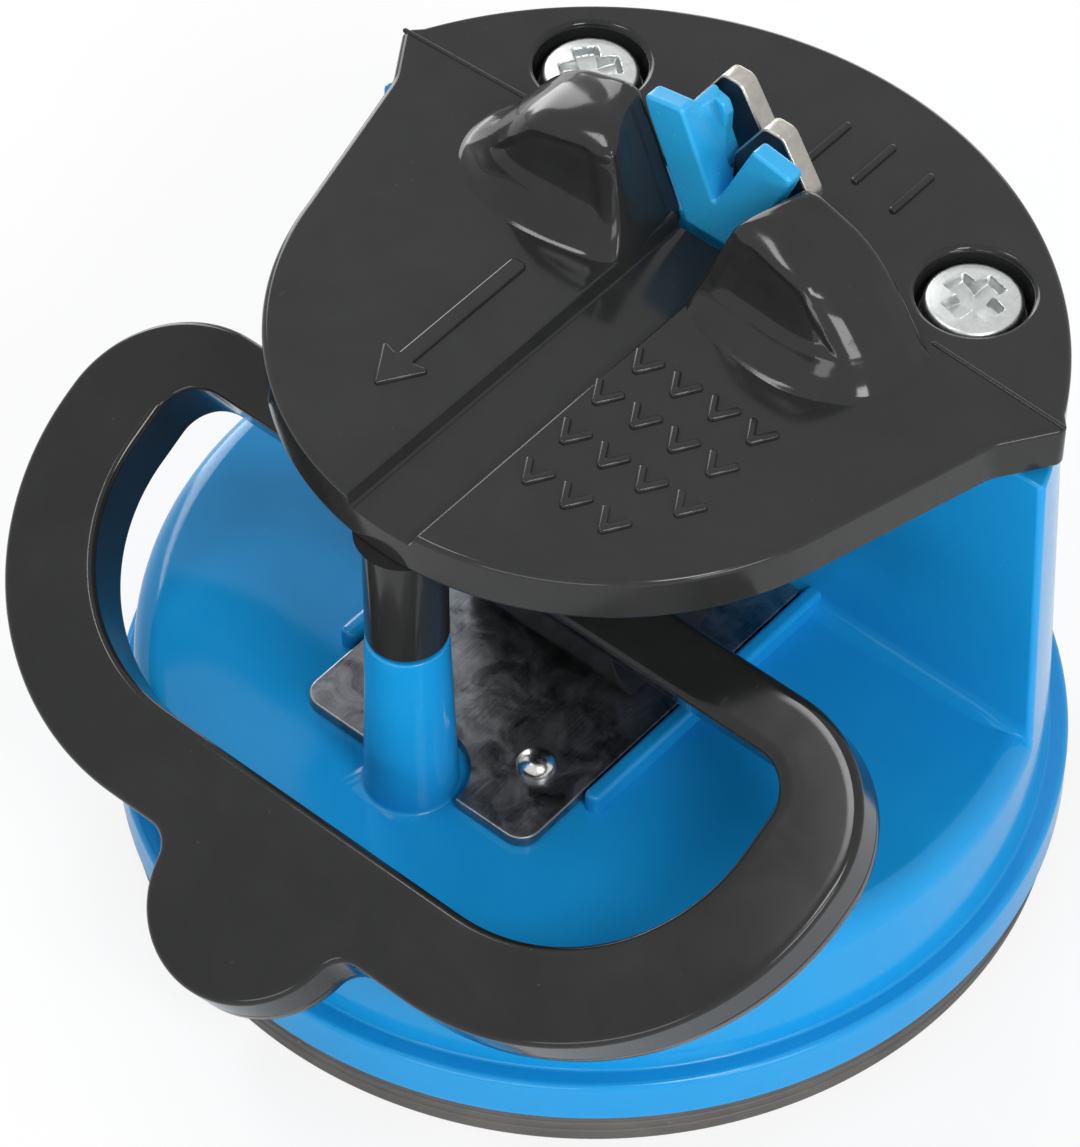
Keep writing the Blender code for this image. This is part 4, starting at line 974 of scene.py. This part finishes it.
def footSlabs():
    # a flange under the cover, and the block in the window with the same step as the window
    front, rear, half = holder["front"] + holder["footBack"], holder["rear"], holder["footHalf"]
    low, ledge = coverUnder, coverUnder + holder["flangeThickness"]
    flange = half + holder["flange"]
    plate = rectangle(-flange, front, flange, rear, holder["plateRound"], holder["plateRound"])
    block = windowShape(half, front + hair / 2, rear - hair / 2, holder["stepX"], holder["stepY"],
                        holder["blockRound"])
    edge, start, high = holder["wallEdge"], low + holder["blockLift"], grooveFloor + 2 * gap
    return slab(plate, low, ledge, edge, edge), slab(block, start, high, 0, edge)


def makeHolder():
    front, edge, wallBack = holder["front"], holder["edge"], holder["wallBack"]
    back = front + holder["frontLayer"]
    rear, sunk = back + holder["backLayer"], holder["sunk"]
    low, high = coverUnder + holder["flangeThickness"], coverTop + holder["spineRise"]
    half, spineRear = holder["spineHalf"], holder["rear"] - holder["spineInset"]
    spine = rectangle(-half, low, half, high, 0, holder["footRound"])
    layer = vOutline(holder["backDrop"], holder["layerFoot"], False)
    plate, block = footSlabs()
    thing = makeThing("bladeHolder", stood(slab(vOutline(0, 0, True), front, back, edge, edge)))
    shaped(thing, "UNION",
           makeThing("layer", stood(slab(layer, back - sunk, rear, 0, holder["layerEdge"]))),
           makeThing("wall", stood(slab(wallOutline(), back - sunk, wallBack, 0, holder["wallEdge"]))),
           makeThing("lip", stood(slab(lipOutline(), holder["lipFront"], wallBack + holder["lipRear"],
                                       holder["blockRound"], holder["lipRear"]))),
           makeThing("plate", plate), makeThing("block", block),
           makeThing("spine", stood(slab(spine, rear - sunk, spineRear, 0, edge))))
    shaped(thing, "DIFFERENCE", makeThing("pocket", cutterSlab(-1, gap)),
           makeThing("pocket", cutterSlab(1, gap)))
    return finishPiece(thing, "base", "holder_plastic", blueHolder, "blade_holder")


makeHolder()
for side, word in bothNames:
    plate = makeThing("cutter" + word.capitalize(), cutterSlab(side, 0.0))
    finishPiece(plate, "base", "carbide", groundCarbide, "carbide_" + word)
print("holder and cutters done")


# Cover screws: pan heads with a cross drive, and domed rivets
screw = {"head": 3.25, "headHeight": 1.75, "crown": 0.35, "edge": 0.45, "under": 0.1,
         "shank": 1.4, "length": 11.0, "point": 1.4,
         "armHalf": 2.1, "armWidth": 0.5, "armFlare": 0.25, "flareFrom": 0.4, "flareTo": 1.2,
         "wall": 0.3, "endWall": 0.35, "centreFrom": 0.75, "centreTo": 1.15,
         "driveDepth": 0.85, "shallowTo": 2.0, "turns": {-1: 38.0, 1: 12.0}}
rivet = {"head": 1.36, "height": 0.85, "edge": 0.08, "shank": 0.6, "length": 3.6}


def screwSkin(side):
    # a pan head as rings round its axis: a low crown, a rounded rim, then the shank; the cross
    # drive sinks where the distance to the nearer arm's middle line is under the arm's half width,
    # which grows outwards, and round the centre; every border is a soft step
    seat = coverTop - cover["wellDepth"] + gap
    top = seat + screw["headHeight"]
    head, edge = screw["head"], screw["edge"]
    flat = np.linspace(0, head - edge, 46)
    crown = top - screw["crown"] * (flat / head) ** 2
    rim = bend(head, crown[-1], -edge, -edge, 9)[1:]
    under, shank, end = screw["under"], screw["shank"], seat - screw["length"]
    below = [(head, seat + under), (head - under, seat), (shank, seat),
             (shank, end + screw["point"]), (0, end)]
    profile = np.concatenate([np.stack([flat, crown], -1), rim, below])
    radius, height = profile[:, :1], profile[:, 1:]
    spin = np.linspace(0, 2 * math.pi, 240, endpoint=False)[None]
    local = spin + math.radians(screw["turns"][side])
    x, y = radius * np.cos(local), radius * np.sin(local)
    long, short = np.maximum(abs(x), abs(y)), np.minimum(abs(x), abs(y))
    flare, reach = screw["armFlare"], screw["armHalf"]
    half = screw["armWidth"] * (1 + flare * softStep(screw["flareFrom"], screw["flareTo"], long))
    wall = 1 - softStep(half, half + screw["wall"], short)
    centre = 1 - softStep(screw["centreFrom"], screw["centreTo"], np.hypot(x, y))
    tip = 1 - softStep(reach - screw["endWall"], reach, long)
    shallow = 1 - flare * softStep(screw["armWidth"], screw["shallowTo"], long)
    sink = np.maximum(wall * tip, centre) * shallow
    onTop = (np.arange(len(radius)) < len(flat))[:, None]
    height = height - screw["driveDepth"] * sink * onTop
    place = np.stack([side * screwSide + radius * np.cos(spin),
                      screwBack + radius * np.sin(spin), height], -1)
    return skin(place)


def rivetSkin(side):
    # a dome of a quarter ellipse over a thin flat edge, and its shank
    head, shank, edge, seat = rivet["head"], rivet["shank"], rivet["edge"], plateTop + hair
    rise, end = rivet["height"] - edge + gap, seat - rivet["length"]
    turn = quarter(16)
    dome = np.stack([head * np.sin(turn), seat + edge + rise * np.cos(turn)], -1)
    rest = [(head, seat), (shank, seat), (shank, end), (0, end)]
    return lathe(np.concatenate([dome, rest]), (side * rivetSide, rivetBack), 72)


for side, word in bothNames:
    thing = makeThing("coverScrew" + word.capitalize(), screwSkin(side))
    finishPiece(thing, "base", "zinc_steel", zincPlate, "cover_screw_" + word)
    thing = makeThing("plateRivet" + word.capitalize(), rivetSkin(side))
    finishPiece(thing, "base", "zinc_steel", rivetSteel, "plate_rivet_" + word)
print("screws and rivets done")


# Wear plate on the floor
wear = {"half": 9.7, "front": -18.3, "corner": 1.5, "rearCorner": 0.3, "edge": 0.16,
        "underEdge": 0.1, "lift": 0.05, "notch": 3.9}


def makeWearPlate():
    # a flat plate with a notch for the post and a hole for the stem
    half, front, back = wear["half"], wear["front"], base["towerFront"] - gap
    outline = rectangle(-half, front, half, back, wear["corner"], wear["rearCorner"], 12)
    low, high = floorTop - overrun, plateTop + overrun
    plate = makeThing("wearPlate", slab(outline, floorTop + wear["lift"], plateTop,
                                        wear["underEdge"], wear["edge"]))
    shaped(plate, "DIFFERENCE", makeThing("notch", rod(wear["notch"], low, high, (0, pillarBack))),
           makeThing("hole", rod(base["stemHole"], low, high)))
    return finishPiece(plate, "base", "dark_steel", oiledSteel, "wear_plate")


makeWearPlate()
print("wear plate done")


# Lever: a ring with a skirt under its outer edge, its thumb tab, and the cam hub
lever = {"tilt": 28.35, "offset": 8.2, "half": 32.3, "rear": 4.1, "front": 33.6,
         "rearCorner": 9.0, "frontCorner": 19.8, "sideBar": 6.5, "rearBar": 4.3, "frontBar": 6.4,
         "holeCorner": 3.0, "centreShift": 0.4,
         "thickness": 1.4, "skirt": 4.5, "skirtWidth": 1.1, "holeSkirt": 4.9,
         "tabRadius": 7.1, "tabCentre": 0.2, "tabFillet": 2.0, "topRound": 0.55, "holeRound": 0.5,
         "flat": 0.5, "footRound": 0.25, "footBevel": 0.07, "insideRound": 0.2, "webRound": 0.3,
         "seamUp": 1.0, "seamDepth": 0.07, "seamHalf": 0.08, "seamBed": 0.03, "around": 900,
         "hubHalf": 7.2, "hubEdge": 0.25, "camLift": 1.5, "camTurn": 100, "heelBack": 2.8,
         "heelRise": 3.73, "heelRound": 0.8, "hubTop": 5.6, "armStart": 0.55, "armSunk": 0.3,
         "armRound": 0.3, "armUnder": 0.5, "chestOut": 5.8, "chestRise": 2.4, "hubRound": 1.0,
         "toe": 4.6, "toeRound": 0.5, "pinBore": 1.8, "slotHalf": 2.7, "slotCorner": 0.4,
         "eye": 4.4}


def ringPoint(forward, above):
    # from the ring's plane to (back, up) as seen from the pivot
    tilt = math.radians(lever["tilt"])
    return (-forward * math.cos(tilt) - above * math.sin(tilt),
            -forward * math.sin(tilt) + above * math.cos(tilt))


def leverPlace(points):
    # from (x, forwards, above) of the ring's plane to the lever's place
    back, up = ringPoint(points[..., 1], points[..., 2])
    return np.stack([points[..., 0], back, pivotHeight + up], -1)


def acrossPivot(part):
    # turns a slab of (back, up from the pivot) so that its thickness runs along the pin
    points = part[0]
    return np.stack([points[:, 2], points[:, 0], points[:, 1] + pivotHeight], -1), part[1]


def ringHalf(half, rear, front, rearCorner, frontCorner):
    # right half of an outline of the ring or its hole, without a tab, from its front to its rear
    side = arc(half - frontCorner, front - frontCorner, frontCorner, 90, 0, 60)
    back = arc(half - rearCorner, rear + rearCorner, rearCorner, 0, -90, 40)
    return np.concatenate([side, back])


def ringOutline():
    # the ring's outer outline: tab, the hollow beside it, then the body; and its front corner
    rise = lever["tabFillet"] - lever["tabCentre"]
    foot = math.sqrt((lever["tabRadius"] + lever["tabFillet"]) ** 2 - rise ** 2)
    meeting = math.degrees(math.atan2(rise, foot))
    tab = arc(0, lever["front"] + lever["tabCentre"], lever["tabRadius"], 90, meeting, 40)
    hollow = arc(foot, lever["front"] + lever["tabFillet"], lever["tabFillet"], 180 + meeting, 270, 16)
    corner = min(lever["frontCorner"], lever["half"] - foot)
    body = ringHalf(lever["half"], lever["rear"], lever["front"], lever["rearCorner"], corner)
    return bothSides(np.concatenate([tab, hollow, body])), corner


def byTurn(outline, centre, turn):
    # the outline's points at given turns round a centre
    away = outline - centre
    angle = np.arctan2(away[:, 1], away[:, 0])
    order = np.argsort(angle)
    angle, x, y = angle[order], away[order, 0], away[order, 1]
    wrapped = (turn + math.pi) % (2 * math.pi) - math.pi
    spread = np.hypot(x, y)
    angle = np.concatenate([angle - 2 * math.pi, angle, angle + 2 * math.pi])
    nearX, nearY = np.tile(x, 3), np.tile(y, 3)
    place = np.searchsorted(angle, wrapped) - 1
    fromX, fromY, toX, toY = nearX[place], nearY[place], nearX[place + 1], nearY[place + 1]
    cosTurn, sinTurn = np.cos(wrapped), np.sin(wrapped)
    stepX, stepY = toX - fromX, toY - fromY
    reach = (fromX * stepY - fromY * stepX) / (cosTurn * stepY - sinTurn * stepX)
    return centre + np.stack([cosTurn, sinTurn], -1) * reach[:, None]


def wallSection(depth):
    # (inset, height) from the underside down the inside of a wall, round its foot and outside
    width, under = lever["skirtWidth"], lever["offset"] - lever["thickness"]
    foot, web, inside = lever["offset"] - depth, lever["webRound"], lever["insideRound"]
    bevel, outside = lever["footBevel"], lever["footRound"]
    return [(width + web, under), (width, under - web), (width, foot + inside),
            (width - inside, foot), (outside, foot), (bevel, foot + bevel), (0.0, foot + outside)]


def seamSection():
    # the fine mould line round the outer wall
    seam, depth = lever["offset"] - lever["skirt"] + lever["seamUp"], lever["seamDepth"]
    half, bed = lever["seamHalf"], lever["seamBed"]
    return [(0.0, seam - half), (depth, seam - bed), (depth, seam + bed), (0.0, seam + half)]


def topSection(radius):
    # a quarter circle over the top edge, and a little of the flat
    top = lever["offset"]
    return np.concatenate([bend(0, top, radius, -radius, 8, uprightFirst=True),
                           [(radius + lever["flat"], top)]])


def ringSkin():
    # outer and inner outline at the same turns round the hole's middle; the section runs from
    # the underside down the outer wall's inside, round its foot, up its outside and over the top,
    # then down the hole's wall, round its foot and back up to the underside
    outline, corner = ringOutline()
    hole = bothSides(ringHalf(lever["half"] - lever["sideBar"], lever["rear"] + lever["rearBar"],
                              lever["front"] - lever["frontBar"], lever["holeCorner"],
                              corner - lever["sideBar"]))
    centre = np.array([0.0, (lever["rear"] + lever["front"]) / 2 + lever["centreShift"]])
    length = np.linalg.norm(np.roll(outline, -1, 0) - outline, axis=1)
    travel = np.concatenate([[0], np.cumsum(length)])
    even = np.linspace(0, travel[-1], lever["around"], endpoint=False)
    closed = np.concatenate([outline, outline[:1]])
    outer = np.stack([np.interp(even, travel, closed[:, 0]), np.interp(even, travel, closed[:, 1])], -1)
    away = outer - centre
    inner = byTurn(hole, centre, np.arctan2(away[:, 1], away[:, 0]))
    outerSection = np.concatenate([wallSection(lever["skirt"]), seamSection(),
                                   topSection(lever["topRound"])])
    innerSection = np.concatenate([wallSection(lever["holeSkirt"]), topSection(lever["holeRound"])])
    rows = np.concatenate([carried(outer, outerSection),
                           carried(inner, innerSection[::-1] * [-1, 1])])
    return skin(leverPlace(rows), closeRows=True)


def camPoint(degrees):
    # the cam's sole: its reach below the pivot falls evenly with the angle
    angle = math.radians(degrees)
    reach = pivotHeight - plateTop - gap - lever["camLift"] * angle
    return (reach * math.sin(angle) - lever["camLift"] * math.cos(angle),
            -reach * math.cos(angle) - lever["camLift"] * math.sin(angle))


def hubOutline():
    # (back, up) from the pivot: the cam, its heel, the top, the arm into the ring's rear bar, the toe
    cam = [camPoint(turn) for turn in np.linspace(0, lever["camTurn"], 41)]
    rearBack, rearHeight = cam[-1]
    high = lever["offset"] - lever["armSunk"]
    low = lever["offset"] - lever["thickness"] - hair
    middle = lever["rear"] + lever["rearBar"] / 2
    sole = plateTop + gap - pivotHeight
    return rounded([*[(*point, 0) for point in cam],
                    (rearBack - lever["heelBack"], rearHeight + lever["heelRise"], lever["heelRound"]),
                    (0, lever["hubTop"], lever["hubRound"]),
                    (*ringPoint(lever["rear"] + lever["armStart"], high), lever["armRound"]),
                    (*ringPoint(middle, high), 0),
                    (*ringPoint(middle + gap, low), lever["armUnder"]),
                    (-lever["chestOut"], sole + lever["chestRise"], lever["hubRound"]),
                    (-lever["toe"], sole, lever["toeRound"])])


def makeHub():
    # a block across the pivot, slotted for the stem's eye and bored for the pin
    half, edge = lever["hubHalf"], lever["hubEdge"]
    hub = makeThing("leverHub", acrossPivot(slab(hubOutline(), -half, half, edge, edge)))
    reach = pivotHeight - plateTop + 2 * overrun
    side, front, corner = lever["slotHalf"], -lever["eye"] - 2 * gap, lever["slotCorner"]
    slot = slab(rectangle(-side, front, side, reach, corner), pivotHeight - reach,
                pivotHeight + reach)
    bore = acrossPivot(rod(lever["pinBore"], -half - overrun, half + overrun))
    shaped(hub, "DIFFERENCE", makeThing("slot", slot), makeThing("bore", bore))
    return finishPiece(hub, "lever", "lever_plastic", blackLever)


finishPiece(makeThing("leverRing", ringSkin()), "lever", "lever_plastic", blackLever, "lever")
makeHub()
print("lever done")


# Suction cup, and the finishes of the stem and the pin, which keep their solids
cup = {"radius": 32.0, "beads": (2.0, 1.2), "beadDepth": 0.1, "beadHalf": 0.2,
       "footWidth": 4.3, "edge": 0.5, "rimTop": 2.9, "stepHeight": 1.4,
       "stepWidth": 2.0, "stepRadius": 28.9, "wall": 2.2, "bossRadius": 8.2, "bossTop": 10.3,
       "underside": 4.0, "domeRadius": 7.0, "neck": 2.7, "hollow": 6.3, "hollowLow": 6.2,
       "hollowHigh": 8.4, "round": 0.3, "bossRound": 0.6, "bossFillet": 1.0, "webFillet": 0.5,
       "stepFillet": 0.1, "heelRound": 0.4, "domeRound": 3.0}


def makeCup():
    # the cup's section: neck and hollow for the stem's foot, boss, web, rim with two fine beads,
    # flat foot ring and domed underside
    web = cup["stepRadius"] - cup["stepWidth"]
    low, top, edge = cup["underside"], cup["rimTop"], cup["radius"] - cup["beadDepth"]
    turn, small = np.linspace(0, math.pi, 9), cup["round"]
    beads = [np.stack([edge + cup["beadDepth"] * np.sin(turn), height + cup["beadHalf"] * np.cos(turn)],
                      -1) for height in cup["beads"]]
    section = rounded([
        (0, cup["hollowLow"], 0), (cup["hollow"], cup["hollowLow"], small),
        (cup["hollow"], cup["hollowHigh"], small), (cup["neck"], cup["hollowHigh"], 0),
        (cup["neck"], cup["bossTop"], small), (cup["bossRadius"], cup["bossTop"], cup["bossRound"]),
        (cup["bossRadius"], low + cup["wall"], cup["bossFillet"]), (web, top, cup["webFillet"]),
        (web, top + cup["stepHeight"], small), (cup["stepRadius"], top + cup["stepHeight"], small),
        (cup["stepRadius"], top, cup["stepFillet"]), (edge, top, small),
        *[(x, z, 0) for bead in beads for x, z in bead],
        (edge, 0, cup["edge"]), (cup["radius"] - cup["footWidth"], 0, cup["heelRound"]),
        (cup["domeRadius"], low, cup["domeRound"]), (0, low, 0)], steps=9)
    # the section starts on the axis, at the hollow's floor
    section = section[::-1] if section[0, 1] > section[-1, 1] else section
    start = np.argmin(np.hypot(section[:, 0], section[:, 1] - cup["hollowLow"]))
    section = np.roll(section, -start, 0)
    rubber = makeThing("suctionCup", lathe(section, steps=240))
    return finishPiece(rubber, "base", "rubber", satinRubber, "suction_cup")


makeCup()
for name, material in (("suction_stem", greyStem), ("lever_pin", zincPlate)):
    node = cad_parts[name]
    node.data.materials.clear()
    node.data.materials.append(material)
print("cup, stem and pin done")


# Studio: floor, world, lamps, camera
studio = {"floorHalf": 900, "floorDrop": 0.03, "floorColour": (0.9, 0.9, 0.89), "floorLift": 0.8,
          "floorRoughness": 0.6, "skyLevel": 0.45, "aim": (0.0, 0.0, 25.0)}
# each lamp: azimuth from the front, elevation, distance, width, height, radiance
lamps = {"leftPanel": (-116, 20, 480, 150, 390, 6.5), "rightFront": (65, 44, 450, 120, 120, 16.0),
         "rightLow": (73, 16, 450, 160, 80, 11.5), "frontLow": (22, 8, 460, 280, 100, 5.0),
         "topLeft": (-46, 65.5, 450, 140, 55, 13.0),
         "rearLow": (-156, 10, 470, 200, 210, 2.5)}
view = {"azimuth": 40.66, "elevation": 49.40, "roll": -0.04, "distance": 338.61, "right": -3.51,
        "up": -3.53, "focal": 5181.0, "imageHeight": 1147.0, "sensor": 36.0, "nearest": 0.01}


def blendShaders(tree, mask, first, second, surface):
    # shows the first shader where the mask is 0 and the second where it is 1
    blend = newNode(tree, "ShaderNodeMixShader")
    for place, source in enumerate((mask, first, second)):
        link(tree, source, blend.inputs[place])
    link(tree, blend.outputs["Shader"], surface)


def direction(azimuth, elevation):
    # towards a place seen from the aim; azimuth runs from the front to the right, in degrees
    turn, climb = math.radians(azimuth), math.radians(elevation)
    return Vector((math.sin(turn) * math.cos(climb), -math.cos(turn) * math.cos(climb),
                   math.sin(climb)))


def makeFloor():
    # a pale floor that keeps the object's shadow; to the camera it is lifted towards white
    size = studio["floorHalf"]
    across = np.linspace(-size, size, 9)
    x, y = np.meshgrid(across, across)
    grid = np.stack([x, y, np.full(x.shape, -studio["floorDrop"])], -1)
    floor = makeThing("floor", skin(grid, closeColumns=False))
    if floor.data.polygons[0].normal.z < 0:
        floor.data.flip_normals()
    material, tree, shader = newMaterial("paleFloor", {})
    shader.inputs["Base Color"].default_value = (*studio["floorColour"], 1)
    shader.inputs["Roughness"].default_value = studio["floorRoughness"]
    glow = newNode(tree, "ShaderNodeEmission")
    ray = newNode(tree, "ShaderNodeLightPath")
    lift = sums(tree, "MULTIPLY", ray.outputs["Is Camera Ray"], studio["floorLift"])
    blendShaders(tree, lift, shader.outputs["BSDF"], glow.outputs["Emission"],
                 tree.nodes["Material Output"].inputs["Surface"])
    floor.data.materials.append(material)


def makeWorld():
    # soft even light; what the camera and shiny surfaces see of it is white
    world = bpy.data.worlds.new("studio")
    bpy.context.scene.world = world
    world.use_nodes = True
    tree = world.node_tree
    soft = tree.nodes["Background"]
    soft.inputs["Color"].default_value = (1, 1, 1, 1)
    soft.inputs["Strength"].default_value = studio["skyLevel"]
    seen = newNode(tree, "ShaderNodeBackground")
    seen.inputs["Color"].default_value = (1, 1, 1, 1)
    ray = newNode(tree, "ShaderNodeLightPath")
    direct = sums(tree, "MAXIMUM", ray.outputs["Is Camera Ray"], ray.outputs["Is Glossy Ray"])
    direct = sums(tree, "MAXIMUM", direct, ray.outputs["Is Transmission Ray"])
    blendShaders(tree, direct, soft.outputs["Background"], seen.outputs["Background"],
                 tree.nodes["World Output"].inputs["Surface"])


def makeLamps():
    # area lamps that face the object, their energy worked out from the radiance of their face
    aim = Vector(np.array(studio["aim"]) + axisShift) * mm
    for name, (azimuth, elevation, distance, width, height, radiance) in lamps.items():
        data = bpy.data.lights.new(name, "AREA")
        data.shape = "RECTANGLE"
        data.size, data.size_y = width * mm, height * mm
        data.energy = radiance * math.pi * data.size * data.size_y
        lamp = bpy.data.objects.new(name, data)
        bpy.context.scene.collection.objects.link(lamp)
        away = direction(azimuth, elevation)
        lamp.location = aim + away * distance * mm
        lamp.rotation_euler = away.to_track_quat("Z", "Y").to_euler()


def makeCamera():
    # at the photograph's viewing angle; the focal length is given in the photograph's own pixels
    azimuth, back = math.radians(view["azimuth"]), direction(view["azimuth"], view["elevation"])
    roll = Matrix.Rotation(-math.radians(view["roll"]), 3, back)
    right = roll @ Vector((math.cos(azimuth), math.sin(azimuth), 0))
    up = back.cross(right)
    aim = Vector(np.array(studio["aim"]) + axisShift)
    place = (aim + back * view["distance"] + right * view["right"] + up * view["up"]) * mm
    data = bpy.data.cameras.new("camera")
    data.sensor_width = view["sensor"]
    data.lens = view["focal"] / view["imageHeight"] * view["sensor"]
    data.clip_start = view["nearest"]
    camera = bpy.data.objects.new("camera", data)
    bpy.context.scene.collection.objects.link(camera)
    camera.matrix_world = Matrix((right, up, back)).transposed().to_4x4()
    camera.location = place
    bpy.context.scene.camera = camera


makeFloor()
makeWorld()
makeLamps()
makeCamera()
bpy.context.scene.view_settings.view_transform = "Standard"
print("studio done")

bpy.context.view_layer.update()
